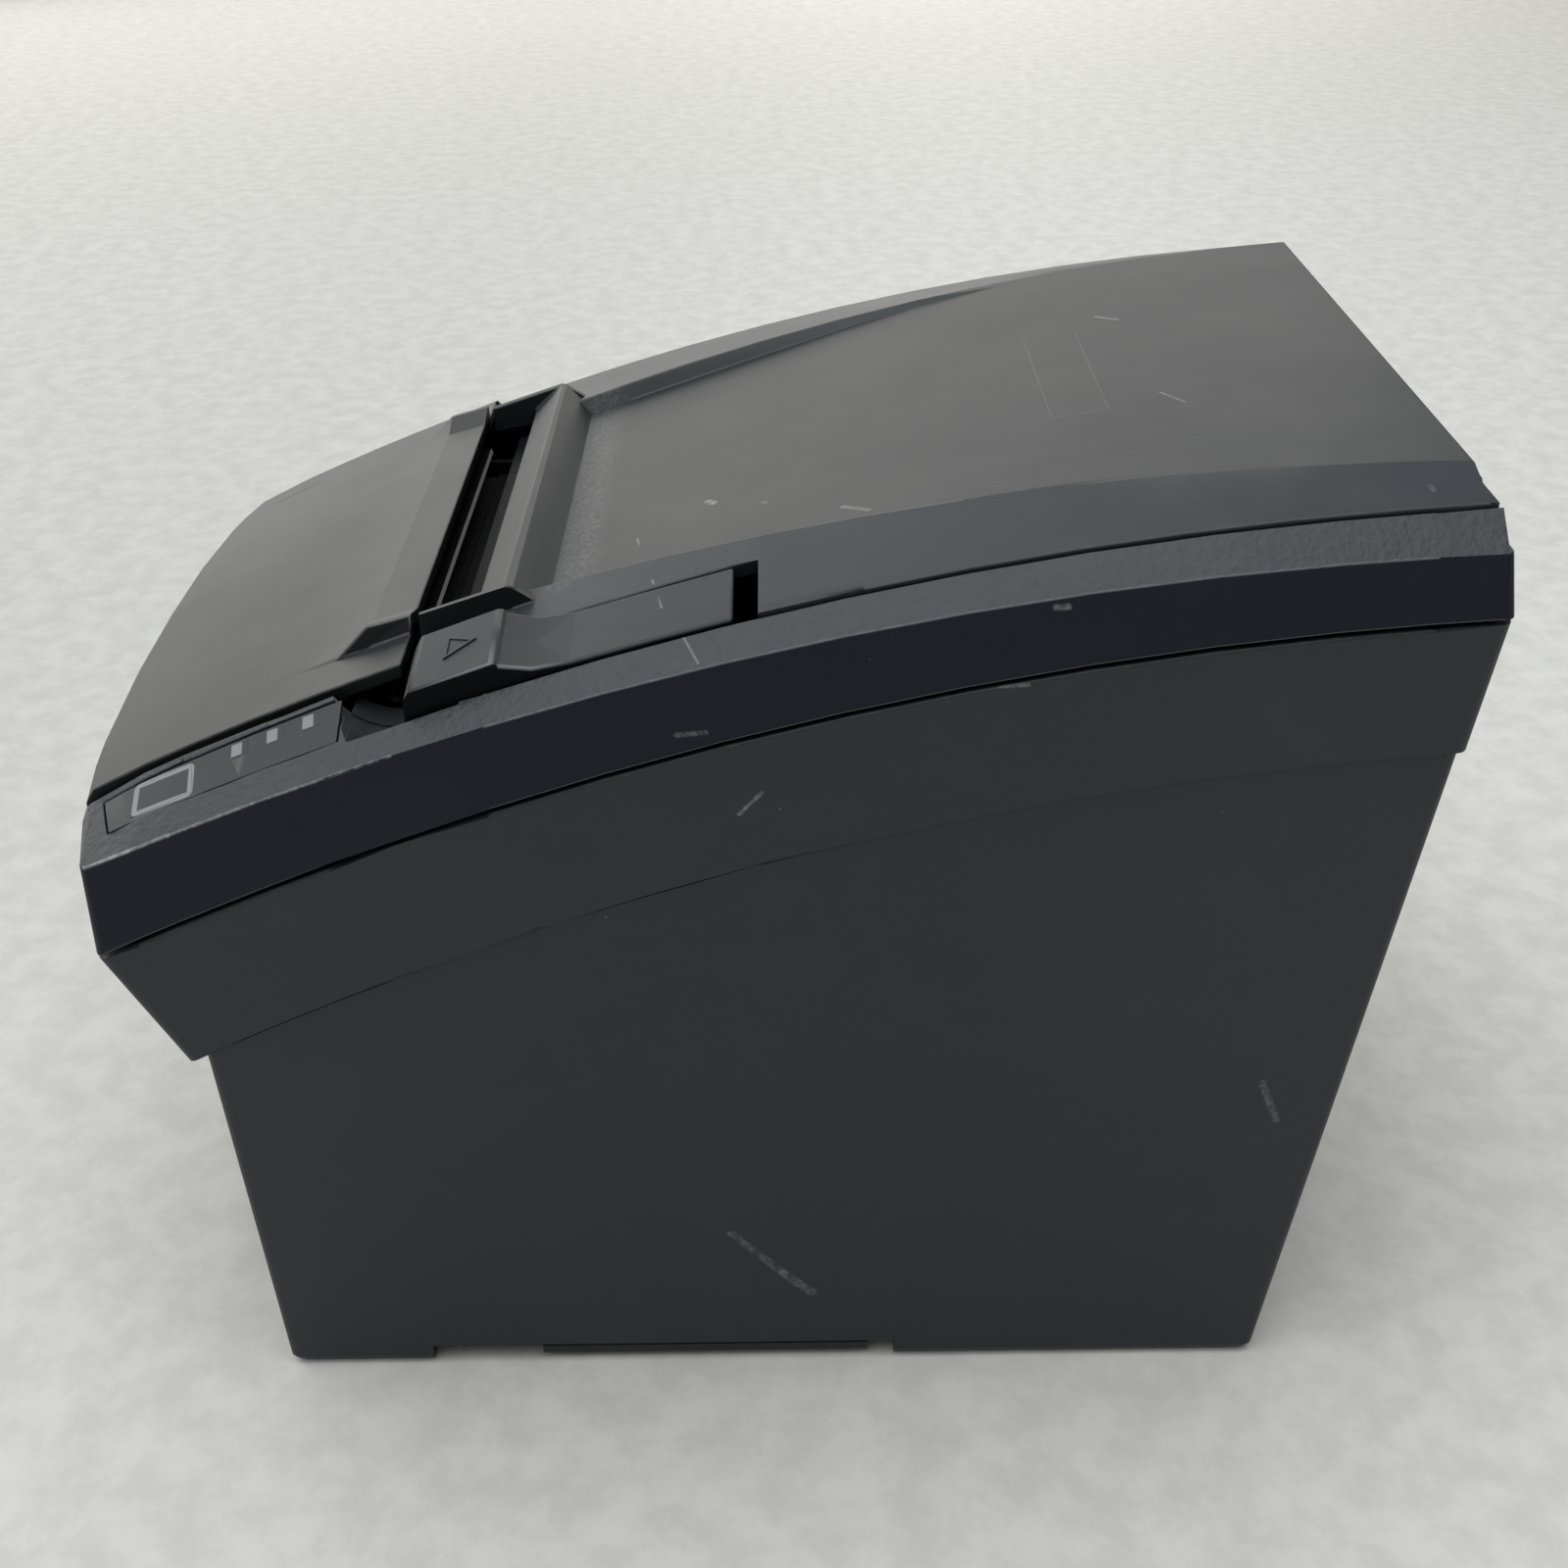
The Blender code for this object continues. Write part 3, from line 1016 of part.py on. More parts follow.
low = WINDOW_LOW + FIT
high = WINDOW_HIGH - FIT
sheet = [(rear_face(low), low), (rear_face(high), high),
         (rear_face(high) - 0.0015, high), (rear_face(low) - 0.0015, low)]
interface_panel = prism("interface_panel", sheet, -WINDOW_X + FIT, WINDOW_X - FIT, STEEL)
PORT_Z = BOARD_Z + BOARD_T + FIT + 0.0008
SOCKET_WALL = 0.0015
ports = (("power_inlet", -0.036, 0.0075, 0.0130), ("data_port", 0.0, 0.0065, 0.0120),
         ("drawer_port", 0.034, 0.0080, 0.0140))
cuts = []
for tag, x, half, tall in ports:
    back = rear_face(PORT_Z) - 0.0001
    port = box(tag, (x - half, BOARD_REAR - 0.0150, PORT_Z), (x + half, back, PORT_Z + tall), DARK)
    combine(port, [box("cavity", (x - half + SOCKET_WALL, back - 0.0110, PORT_Z + SOCKET_WALL),
                       (x + half - SOCKET_WALL, back + 0.01, PORT_Z + tall - SOCKET_WALL))])
    cuts.append(box("port_hole", (x - half - FIT, BOARD_REAR, PORT_Z - FIT),
                    (x + half + FIT, REAR_Y, PORT_Z + tall + FIT)))
combine(interface_panel, cuts)

# Power switch on the left wall
side_x = -TUB_X - 0.0010
BAY_Y = 0.0062
switch_body = box("switch_body", (side_x, SWITCH_Y - 0.008 + FIT, SWITCH_Z - 0.011 + FIT),
                  (side_x + 0.0130, SWITCH_Y + 0.008 - FIT, SWITCH_Z + 0.011 - FIT), DARK)
combine(switch_body, [box("rocker_bay", (side_x - 0.01, SWITCH_Y - BAY_Y, SWITCH_Z - 0.0094),
                          (side_x + 0.0090, SWITCH_Y + BAY_Y, SWITCH_Z + 0.0094))])
ROCKER_X = side_x + 0.0030
profile = [(-0.0036, -0.0080), (-0.0024, 0), (-0.0036, 0.0080), (0.0010, 0.0080), (0.0030, 0.0040),
           (0.0030, -0.0040), (0.0010, -0.0080)]
loft("power_rocker", [[(ROCKER_X + u, y, SWITCH_Z + w) for u, w in profile]
                      for y in (SWITCH_Y - BAY_Y + FIT, SWITCH_Y + BAY_Y - FIT)], DARK)
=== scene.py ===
import json
import math

import bmesh
import bpy
from mathutils import Matrix, Vector

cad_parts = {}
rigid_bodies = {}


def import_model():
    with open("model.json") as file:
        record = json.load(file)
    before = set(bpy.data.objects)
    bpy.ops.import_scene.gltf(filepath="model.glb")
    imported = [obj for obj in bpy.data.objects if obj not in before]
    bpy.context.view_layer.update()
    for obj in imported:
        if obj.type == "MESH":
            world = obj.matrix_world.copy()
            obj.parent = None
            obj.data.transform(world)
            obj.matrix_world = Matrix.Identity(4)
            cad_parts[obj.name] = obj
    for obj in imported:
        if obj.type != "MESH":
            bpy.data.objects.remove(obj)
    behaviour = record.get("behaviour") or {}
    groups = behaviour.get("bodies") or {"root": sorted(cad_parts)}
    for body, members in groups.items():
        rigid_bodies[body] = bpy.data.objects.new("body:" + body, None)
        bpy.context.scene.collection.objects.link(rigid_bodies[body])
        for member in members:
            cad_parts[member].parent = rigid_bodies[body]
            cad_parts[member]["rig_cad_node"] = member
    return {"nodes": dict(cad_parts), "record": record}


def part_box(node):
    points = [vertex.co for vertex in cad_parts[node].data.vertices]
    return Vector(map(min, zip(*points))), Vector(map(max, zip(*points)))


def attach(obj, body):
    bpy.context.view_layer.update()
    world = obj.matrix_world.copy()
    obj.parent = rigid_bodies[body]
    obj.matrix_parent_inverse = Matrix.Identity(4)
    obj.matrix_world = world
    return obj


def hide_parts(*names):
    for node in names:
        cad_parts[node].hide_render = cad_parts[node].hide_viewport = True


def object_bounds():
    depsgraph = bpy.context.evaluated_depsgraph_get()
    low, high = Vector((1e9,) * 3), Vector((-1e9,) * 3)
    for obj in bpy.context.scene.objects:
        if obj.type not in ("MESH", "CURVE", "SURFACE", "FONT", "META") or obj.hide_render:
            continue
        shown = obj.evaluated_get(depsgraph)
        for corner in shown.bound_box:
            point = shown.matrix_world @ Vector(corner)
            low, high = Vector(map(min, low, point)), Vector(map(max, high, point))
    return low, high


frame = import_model()
cad_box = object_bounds()

scene = bpy.context.scene
scene.view_settings.view_transform = "Standard"


# Small helpers for shader trees

def put(tree, kind, x=0, y=0, **settings):
    node = tree.nodes.new(kind)
    node.location = (x, y)
    for name, value in settings.items():
        setattr(node, name, value)
    return node


def feed(node, **values):
    for name, value in values.items():
        node.inputs[name.replace("_", " ")].default_value = value
    return node


def wire(tree, source, target):
    tree.links.new(source, target)


def calc(tree, what, a, b=None, c=None, clamp=False):
    node = put(tree, "ShaderNodeMath", operation=what, use_clamp=clamp)
    for socket, value in zip(node.inputs, (a, b, c)):
        if value is None:
            continue
        if isinstance(value, (int, float)):
            socket.default_value = value
        else:
            wire(tree, value, socket)
    return node.outputs[0]


def vector_calc(tree, what, a, b=None):
    node = put(tree, "ShaderNodeVectorMath", operation=what)
    for socket, value in zip(node.inputs, (a, b)):
        if value is None:
            continue
        if isinstance(value, (tuple, list)):
            socket.default_value = value
        else:
            wire(tree, value, socket)
    return node.outputs["Value"] if what in ("DOT_PRODUCT", "LENGTH", "DISTANCE") else node.outputs["Vector"]


def ramp(tree, value, low, high, to_low=0.0, to_high=1.0):
    node = put(tree, "ShaderNodeMapRange", clamp=True, interpolation_type="SMOOTHSTEP")
    wire(tree, value, node.inputs["Value"])
    feed(node, From_Min=low, From_Max=high, To_Min=to_low, To_Max=to_high)
    return node.outputs["Result"]


def tint(tree, mask, base, other, mode="MIX"):
    node = put(tree, "ShaderNodeMix", data_type="RGBA", blend_type=mode)
    if isinstance(mask, (int, float)):
        node.inputs[0].default_value = mask
    else:
        wire(tree, mask, node.inputs[0])
    for index, value in ((6, base), (7, other)):
        if isinstance(value, tuple):
            node.inputs[index].default_value = (*value, 1.0)
        else:
            wire(tree, value, node.inputs[index])
    return node.outputs[2]


def noise(tree, place, scale, detail=2.0, rough=0.5):
    node = put(tree, "ShaderNodeTexNoise")
    wire(tree, place, node.inputs["Vector"])
    feed(node, Scale=scale, Detail=detail, Roughness=rough)
    return node.outputs["Fac"]


def new_group(name, inputs, outputs):
    tree = bpy.data.node_groups.new(name, "ShaderNodeTree")
    for label, kind, value in inputs:
        socket = tree.interface.new_socket(label, in_out="INPUT", socket_type=kind)
        socket.default_value = value
    for label, kind in outputs:
        tree.interface.new_socket(label, in_out="OUTPUT", socket_type=kind)
    return tree, put(tree, "NodeGroupInput", -900).outputs, put(tree, "NodeGroupOutput", 900).inputs


FLOAT = "NodeSocketFloat"
VECTOR = "NodeSocketVector"


def moulded_grain():
    """Fine spark-eroded texture of a moulded face: a height and a tone that follows it."""
    tree, given, out = new_group(
        "moulded grain", [("Scale", FLOAT, 2600.0), ("Tone", FLOAT, 0.2)],
        [("Height", FLOAT), ("Tone", FLOAT)])
    place = put(tree, "ShaderNodeTexCoord").outputs["Object"]
    fine = put(tree, "ShaderNodeTexNoise")
    wire(tree, place, fine.inputs["Vector"])
    wire(tree, given["Scale"], fine.inputs["Scale"])
    feed(fine, Detail=3.0, Roughness=0.6)
    cells = put(tree, "ShaderNodeTexVoronoi", feature="SMOOTH_F1")
    wire(tree, place, cells.inputs["Vector"])
    wire(tree, calc(tree, "MULTIPLY", given["Scale"], 0.6), cells.inputs["Scale"])
    height = calc(tree, "ADD", calc(tree, "MULTIPLY", fine.outputs["Fac"], 0.7),
                  calc(tree, "MULTIPLY", cells.outputs["Distance"], 0.5))
    wire(tree, height, out["Height"])
    swing = calc(tree, "MULTIPLY", calc(tree, "SUBTRACT", height, 0.55), given["Tone"])
    wire(tree, calc(tree, "ADD", swing, 1.0), out["Tone"])
    return tree


def handling():
    """Broad uneven shine and tone left by hands and cleaning."""
    tree, given, out = new_group(
        "handling", [("Spread", FLOAT, 0.15)], [("Shine", FLOAT), ("Tone", FLOAT)])
    place = put(tree, "ShaderNodeTexCoord").outputs["Object"]
    broad = noise(tree, place, 28.0, 4.0, 0.6)
    streak = put(tree, "ShaderNodeMapping")
    wire(tree, place, streak.inputs["Vector"])
    feed(streak, Scale=(1.0, 0.35, 1.0), Rotation=(0.5, 0.2, 0.3))
    wiped = noise(tree, streak.outputs["Vector"], 140.0, 3.0, 0.55)
    mixed = calc(tree, "ADD", calc(tree, "MULTIPLY", broad, 0.6), calc(tree, "MULTIPLY", wiped, 0.4))
    swing = calc(tree, "MULTIPLY", calc(tree, "SUBTRACT", mixed, 0.5), given["Spread"])
    wire(tree, swing, out["Shine"])
    wire(tree, calc(tree, "ADD", calc(tree, "MULTIPLY", swing, 0.8), 1.0), out["Tone"])
    return tree


def settled_dust():
    """Specks and a thin film on faces that look upward."""
    tree, given, out = new_group(
        "settled dust", [("Amount", FLOAT, 0.5), ("Upright", FLOAT, 0.15)], [("Mask", FLOAT)])
    place = put(tree, "ShaderNodeTexCoord").outputs["Object"]
    facing = put(tree, "ShaderNodeSeparateXYZ")
    wire(tree, put(tree, "ShaderNodeNewGeometry").outputs["Normal"], facing.inputs[0])
    up = calc(tree, "MAXIMUM", ramp(tree, facing.outputs["Z"], 0.1, 0.9), given["Upright"])
    specks = put(tree, "ShaderNodeTexVoronoi", feature="F1")
    wire(tree, place, specks.inputs["Vector"])
    feed(specks, Scale=420.0, Randomness=1.0)
    dots = ramp(tree, specks.outputs["Distance"], 0.02, 0.11, 1.0, 0.0)
    kept = ramp(tree, noise(tree, place, 95.0, 3.0, 0.6), 0.52, 0.72)
    film = ramp(tree, noise(tree, place, 60.0, 6.0, 0.7), 0.45, 0.85, 0.0, 0.35)
    mask = calc(tree, "MAXIMUM", calc(tree, "MULTIPLY", dots, kept), film)
    mask = calc(tree, "MULTIPLY", calc(tree, "MULTIPLY", mask, up), given["Amount"], clamp=True)
    wire(tree, mask, out["Mask"])
    return tree


def rub_mark():
    """One scuff along a straight line, broken up along its length."""
    tree, given, out = new_group(
        "rub mark", [("Start", VECTOR, (0, 0, 0)), ("End", VECTOR, (0, 0, 0)), ("Width", FLOAT, 0.001),
                     ("Break", FLOAT, 0.5)], [("Mask", FLOAT)])
    place = put(tree, "ShaderNodeTexCoord").outputs["Object"]
    run = vector_calc(tree, "SUBTRACT", given["End"], given["Start"])
    away = vector_calc(tree, "SUBTRACT", place, given["Start"])
    share = calc(tree, "DIVIDE", vector_calc(tree, "DOT_PRODUCT", away, run),
                 vector_calc(tree, "DOT_PRODUCT", run, run), clamp=True)
    scaled = put(tree, "ShaderNodeVectorMath", operation="SCALE")
    wire(tree, run, scaled.inputs[0])
    wire(tree, share, scaled.inputs["Scale"])
    gap = vector_calc(tree, "LENGTH", vector_calc(tree, "SUBTRACT", away, scaled.outputs["Vector"]))
    inside = calc(tree, "SUBTRACT", 1.0, calc(tree, "DIVIDE", gap, given["Width"]), clamp=True)
    broken = ramp(tree, noise(tree, place, 1300.0, 4.0, 0.7), 0.35, 0.7)
    keep = calc(tree, "SUBTRACT", 1.0, calc(tree, "MULTIPLY", given["Break"],
                                            calc(tree, "SUBTRACT", 1.0, broken)))
    wire(tree, calc(tree, "MULTIPLY", ramp(tree, inside, 0.0, 0.7), keep, clamp=True), out["Mask"])
    return tree


def edge_wear_and_highlight():
    """Broken bright line along an edge: partly wear where hands and tables rub, partly a painted highlight where the
    rounded edge catches light.
    """
    tree, given, out = new_group(
        "edge wear and highlight", [("Amount", FLOAT, 0.5), ("Keep", FLOAT, 0.5)], [("Mask", FLOAT)])
    place = put(tree, "ShaderNodeTexCoord").outputs["Object"]
    line = put(tree, "ShaderNodeAttribute", attribute_name="edge").outputs["Fac"]
    patchy = noise(tree, place, 330.0, 5.0, 0.7)
    low = calc(tree, "SUBTRACT", 0.72, given["Keep"])
    kept = put(tree, "ShaderNodeMapRange", clamp=True, interpolation_type="SMOOTHSTEP")
    wire(tree, patchy, kept.inputs["Value"])
    wire(tree, low, kept.inputs["From Min"])
    wire(tree, calc(tree, "ADD", low, 0.22), kept.inputs["From Max"])
    mask = calc(tree, "MULTIPLY", calc(tree, "MULTIPLY", line, kept.outputs["Result"]), given["Amount"])
    wire(tree, calc(tree, "MINIMUM", mask, 1.0), out["Mask"])
    return tree


def printed_mark():
    """Rounded rectangle laid out along two given directions: its outline, and the area inside."""
    tree, given, out = new_group(
        "printed mark", [("Centre", VECTOR, (0, 0, 0)), ("Across", VECTOR, (1, 0, 0)),
                         ("Along", VECTOR, (0, 1, 0)), ("Half Across", FLOAT, 0.0025),
                         ("Half Along", FLOAT, 0.0045), ("Corner", FLOAT, 0.0008), ("Line", FLOAT, 0.0005)],
        [("Outline", FLOAT), ("Area", FLOAT)])
    place = put(tree, "ShaderNodeTexCoord").outputs["Object"]
    away = vector_calc(tree, "SUBTRACT", place, given["Centre"])
    reach = []
    for side in ("Across", "Along"):
        span = calc(tree, "ABSOLUTE", vector_calc(tree, "DOT_PRODUCT", away, given[side]))
        reach.append(calc(tree, "ADD", calc(tree, "SUBTRACT", span, given["Half " + side]), given["Corner"]))
    outside = [calc(tree, "POWER", calc(tree, "MAXIMUM", part, 0.0), 2.0) for part in reach]
    gap = calc(tree, "SQRT", calc(tree, "ADD", *outside))
    gap = calc(tree, "ADD", gap, calc(tree, "MINIMUM", calc(tree, "MAXIMUM", *reach), 0.0))
    gap = calc(tree, "SUBTRACT", gap, given["Corner"])
    middle = calc(tree, "ABSOLUTE", calc(tree, "ADD", gap, calc(tree, "MULTIPLY", given["Line"], 0.5)))
    wire(tree, ramp(tree, calc(tree, "DIVIDE", middle, given["Line"]), 0.42, 0.58, 1.0, 0.0), out["Outline"])
    wire(tree, ramp(tree, gap, -0.00006, 0.00006, 1.0, 0.0), out["Area"])
    return tree


def top_faces():
    """One on faces that look upward, nought on upright sides."""
    tree, _, out = new_group("top faces", [], [("Top", FLOAT)])
    facing = put(tree, "ShaderNodeSeparateXYZ")
    wire(tree, put(tree, "ShaderNodeNewGeometry").outputs["Normal"], facing.inputs[0])
    wire(tree, ramp(tree, facing.outputs["Z"], 0.15, 0.60), out["Top"])
    return tree


def pale_specks():
    """Sparse pale specks, each on its own, on any face."""
    tree, given, out = new_group("pale specks", [("Scale", FLOAT, 170.0), ("Share", FLOAT, 0.2)], [("Mask", FLOAT)])
    place = put(tree, "ShaderNodeTexCoord").outputs["Object"]
    cells = put(tree, "ShaderNodeTexVoronoi", feature="F1")
    wire(tree, place, cells.inputs["Vector"])
    wire(tree, given["Scale"], cells.inputs["Scale"])
    dots = ramp(tree, cells.outputs["Distance"], 0.012, 0.034, 1.0, 0.0)
    chance = put(tree, "ShaderNodeSeparateColor")
    wire(tree, cells.outputs["Color"], chance.inputs["Color"])
    kept = calc(tree, "LESS_THAN", chance.outputs["Red"], given["Share"])
    wire(tree, calc(tree, "MULTIPLY", dots, kept), out["Mask"])
    return tree


TOP = top_faces()
SPECKS = pale_specks()
GRAIN = moulded_grain()
HANDLING = handling()
DUST = settled_dust()
RUB = rub_mark()
EDGE = edge_wear_and_highlight()
MARK = printed_mark()


def use(tree, group, **values):
    node = put(tree, "ShaderNodeGroup")
    node.node_tree = group
    feed(node, **values)
    return node


def new_material(name):
    made = bpy.data.materials.new(name)
    made.use_nodes = True
    return made, made.node_tree, made.node_tree.nodes["Principled BSDF"]


def plastic(name, colour, rough, scale, depth, tone=0.25, dust=0.3, upright=0.15, marks=(), edge=0.0,
            edge_keep=0.3, edge_colour=(0.30, 0.31, 0.32), spread=0.12, specular=0.5, prints=(),
            dust_colour=(0.32, 0.31, 0.29), side=None, specks=0.0):
    """Moulded plastic: grained, handled, dusty, with its own scuffs and edge lines that are partly wear and partly
    painted highlight; if asked, its upright sides are made matt and darkened with painted shade.
    """
    made, tree, shader = new_material(name)
    shader.inputs["Specular IOR Level"].default_value = specular
    grain = use(tree, GRAIN, Scale=scale, Tone=tone)
    hands = use(tree, HANDLING, Spread=spread)
    film = use(tree, DUST, Amount=dust, Upright=upright)
    shade = calc(tree, "MULTIPLY", grain.outputs["Tone"], hands.outputs["Tone"])
    # Painted shade: faces turning away from the sky get a darker base colour, and a lower specular level that leaves
    # them matt
    if side:
        top = use(tree, TOP).outputs["Top"]
        shade = calc(tree, "MULTIPLY", shade, ramp(tree, top, 0.0, 1.0, side[0], 1.0))
        wire(tree, ramp(tree, top, 0.0, 1.0, side[1], specular), shader.inputs["Specular IOR Level"])
    multiply = put(tree, "ShaderNodeVectorMath", operation="SCALE")
    multiply.inputs[0].default_value = colour
    wire(tree, shade, multiply.inputs["Scale"])
    body = tint(tree, film.outputs["Mask"], multiply.outputs["Vector"], dust_colour)
    # Edge line in edge_colour: partly wear, partly painted highlight along the rounded edges
    if edge:
        wear_and_highlight = use(tree, EDGE, Amount=edge, Keep=edge_keep)
        body = tint(tree, wear_and_highlight.outputs["Mask"], body, edge_colour)
    if specks:
        flecks = use(tree, SPECKS)
        body = tint(tree, calc(tree, "MULTIPLY", flecks.outputs["Mask"], specks), body, SCUFFED)
    for start, end, width, broken, strength in marks:
        mark = use(tree, RUB, Start=start, End=end, Width=width, Break=broken)
        body = tint(tree, calc(tree, "MULTIPLY", mark.outputs["Mask"], strength), body, SCUFFED)
    for part, ink, strength, layout in prints:
        mark = use(tree, MARK, **layout)
        body = tint(tree, calc(tree, "MULTIPLY", mark.outputs[part], strength), body, ink)
    wire(tree, body, shader.inputs["Base Color"])
    dull = calc(tree, "ADD", calc(tree, "MULTIPLY", film.outputs["Mask"], 0.35), rough)
    wire(tree, calc(tree, "ADD", dull, hands.outputs["Shine"], clamp=True), shader.inputs["Roughness"])
    bump = put(tree, "ShaderNodeBump")
    feed(bump, Strength=1.0, Distance=depth)
    wire(tree, grain.outputs["Height"], bump.inputs["Height"])
    wire(tree, bump.outputs["Normal"], shader.inputs["Normal"])
    return made


def metal(name, colour, rough, stretch=(1.0, 1.0, 1.0), scale=900.0, depth=0.00002, spread=0.2,
          ground_glint_from=None, specular=0.5, metallic=1.0):
    """Sheet or turned metal with a drawn finish; an edge beyond a given depth may be ground bright, painted as a pale
    non-metallic grey that stands in for its reflection of the light above.
    """
    made, tree, shader = new_material(name)
    shader.inputs["Specular IOR Level"].default_value = specular
    place = put(tree, "ShaderNodeTexCoord").outputs["Object"]
    drawn = put(tree, "ShaderNodeMapping")
    wire(tree, place, drawn.inputs["Vector"])
    feed(drawn, Scale=stretch)
    lines = noise(tree, drawn.outputs["Vector"], scale, 3.0, 0.6)
    broad = noise(tree, place, 70.0, 3.0, 0.6)
    dark = tuple(0.72 * part for part in colour)
    blend = calc(tree, "ADD", calc(tree, "MULTIPLY", lines, 0.5), calc(tree, "MULTIPLY", broad, 0.5))
    body = tint(tree, ramp(tree, blend, 0.3, 0.7), dark, colour)
    if ground_glint_from is None:
        shader.inputs["Metallic"].default_value = metallic
    else:
        split = put(tree, "ShaderNodeSeparateXYZ")
        wire(tree, place, split.inputs[0])
        axis, level, soft = ground_glint_from
        ground = ramp(tree, split.outputs[axis], level - soft, level + soft)
        # Painted reflection: the ground edge is pale grey and the metal turns non-metallic, so the edge lights up from
        # diffuse light instead of reflecting it
        body = tint(tree, ground, body, GROUND_EDGE_GLINT)
        shader.inputs["Metallic"].default_value = 0.0
    wire(tree, body, shader.inputs["Base Color"])
    wire(tree, ramp(tree, lines, 0.3, 0.7, rough - spread / 2, rough + spread / 2), shader.inputs["Roughness"])
    bump = put(tree, "ShaderNodeBump")
    feed(bump, Strength=1.0, Distance=depth)
    wire(tree, lines, bump.inputs["Height"])
    wire(tree, bump.outputs["Normal"], shader.inputs["Normal"])
    return made


# Where the surface is scuffed: start, end, width, how broken up, how strong
TUB_SCUFFS = [
    ((0.0689, -0.0048, 0.0271), (0.0687, 0.0034, 0.0184), 0.0009, 0.95, 0.28),
    ((0.0687, 0.0034, 0.0184), (0.0686, 0.0076, 0.0145), 0.0011, 0.9, 0.32),
    ((0.0695, 0.0741, 0.0549), (0.0694, 0.0769, 0.0480), 0.0008, 0.9, 0.32),
    ((0.0719, -0.0017, 0.1029), (0.0719, 0.0014, 0.1062), 0.0004, 0.7, 0.5),
    ((0.0722, 0.0326, 0.1217), (0.0722, 0.0364, 0.1219), 0.0004, 0.7, 0.4),
]
RIM_SCUFFS = [
    ((0.0704, -0.0918, 0.0950), (0.0705, -0.0855, 0.0976), 0.00050, 0.6, 0.9),
    ((0.0705, -0.0855, 0.0976), (0.0705, -0.0795, 0.1000), 0.00045, 0.7, 0.7),
    ((0.0705, -0.0795, 0.1000), (0.0705, -0.0675, 0.1048), 0.00040, 0.8, 0.5),
    ((0.0705, -0.0675, 0.1048), (0.0705, -0.0480, 0.1118), 0.00035, 0.9, 0.4),
]
BAND_SCUFFS = RIM_SCUFFS + [
    ((0.0708, 0.0396, 0.1322), (0.0708, 0.0412, 0.1323), 0.0006, 0.7, 0.4),
    ((0.0720, -0.0097, 0.1151), (0.0721, -0.0058, 0.1155), 0.0005, 0.9, 0.35),
]
STRIP_SCUFFS = RIM_SCUFFS + [((0.0657, -0.0086, 0.1264), (0.0697, -0.0066, 0.1245), 0.00025, 0.3, 0.4)]
LID_SCUFFS = [
    ((0.0277, -0.0169, 0.1249), (0.0510, -0.0132, 0.1278), 0.00026, 0.15, 0.40),
    ((0.0208, -0.0066, 0.1281), (0.0222, -0.0056, 0.1282), 0.0009, 0.7, 0.6),
    ((0.0279, 0.0018, 0.1306), (0.0284, 0.0023, 0.1307), 0.0005, 0.7, 0.4),
    ((0.0384, 0.0132, 0.1337), (0.0422, 0.0168, 0.1347), 0.0006, 0.8, 0.5),
    ((-0.0223, 0.0569, 0.1429), (-0.0193, 0.0600, 0.1433), 0.0006, 0.5, 0.4),
    ((0.0185, 0.0607, 0.1433), (0.0241, 0.0635, 0.1437), 0.0003, 0.5, 0.45),
    ((0.0610, 0.0886, 0.1443), (0.0620, 0.0888, 0.1441), 0.0005, 0.6, 0.25),
    ((-0.0420, -0.0262, 0.1225), (0.0420, -0.0262, 0.1225), 0.0050, 1.0, 0.16),
]
LEVER_SCUFFS = [((0.0540, -0.0126, 0.1277), (0.0579, -0.0118, 0.1272), 0.00024, 0.15, 0.40)]

# Clear label on the paper cover, left bare: a film with a faint edge
LABEL_FILM = dict(Centre=(0.0030, 0.0485, 0.1416), Across=(1.0, 0.0, 0.0), Along=(0.0, 0.989, 0.148),
                  Half_Across=0.0198, Half_Along=0.0043, Corner=0.0008, Line=0.00025)
LABEL = [("Area", (0.0165, 0.0175, 0.0175), 0.5, LABEL_FILM), ("Outline", (0.060, 0.062, 0.062), 0.6, LABEL_FILM)]

# Finishes
SCUFFED = (0.36, 0.36, 0.35)
RING_GREY = (0.23, 0.235, 0.235)
WINDOW_GREY = (0.24, 0.245, 0.245)
GROUND_EDGE_GLINT = (0.30, 0.295, 0.27)
# Tub: its faint edge line is a painted highlight along the rounded edges
tub_plastic = plastic("tub plastic", (0.0105, 0.0132, 0.0175), 0.52, 2600.0, 0.00002, dust=0.20,
                      marks=TUB_SCUFFS, edge=0.05, specks=0.45)
# Band and strip: the bright line along the outer rim is partly wear, partly painted highlight
band_plastic = plastic("band plastic", (0.0055, 0.0077, 0.0145), 0.46, 2600.0, 0.00002, dust=0.14,
                       marks=BAND_SCUFFS, edge=0.60, edge_keep=0.52, specular=0.25, specks=0.30)
strip_plastic = plastic("strip plastic, coarse", (0.0250, 0.0295, 0.0325), 0.46, 1300.0, 0.00020, tone=0.60,
                        dust=0.10, marks=STRIP_SCUFFS, edge=0.60, edge_keep=0.52, specular=0.5)
# Where side is given below, upright faces are darkened with painted shade and made matt
hatch_plastic = plastic("front cover plastic", (0.0110, 0.0120, 0.0120), 0.48, 2600.0, 0.00002, dust=0.12,
                        edge=0.10, specular=0.5, side=(0.5, 0.2))
# Paper cover: its pale edge_colour line is a painted highlight along the ridge and edges
lid_plastic = plastic("paper cover plastic", (0.0110, 0.0125, 0.0132), 0.50, 2600.0, 0.00002, dust=0.16,
                      marks=LID_SCUFFS, edge=0.55, edge_keep=0.55, edge_colour=(0.075, 0.076, 0.074), specular=0.5,
                      prints=LABEL, side=(0.6, 0.35), specks=0.25)
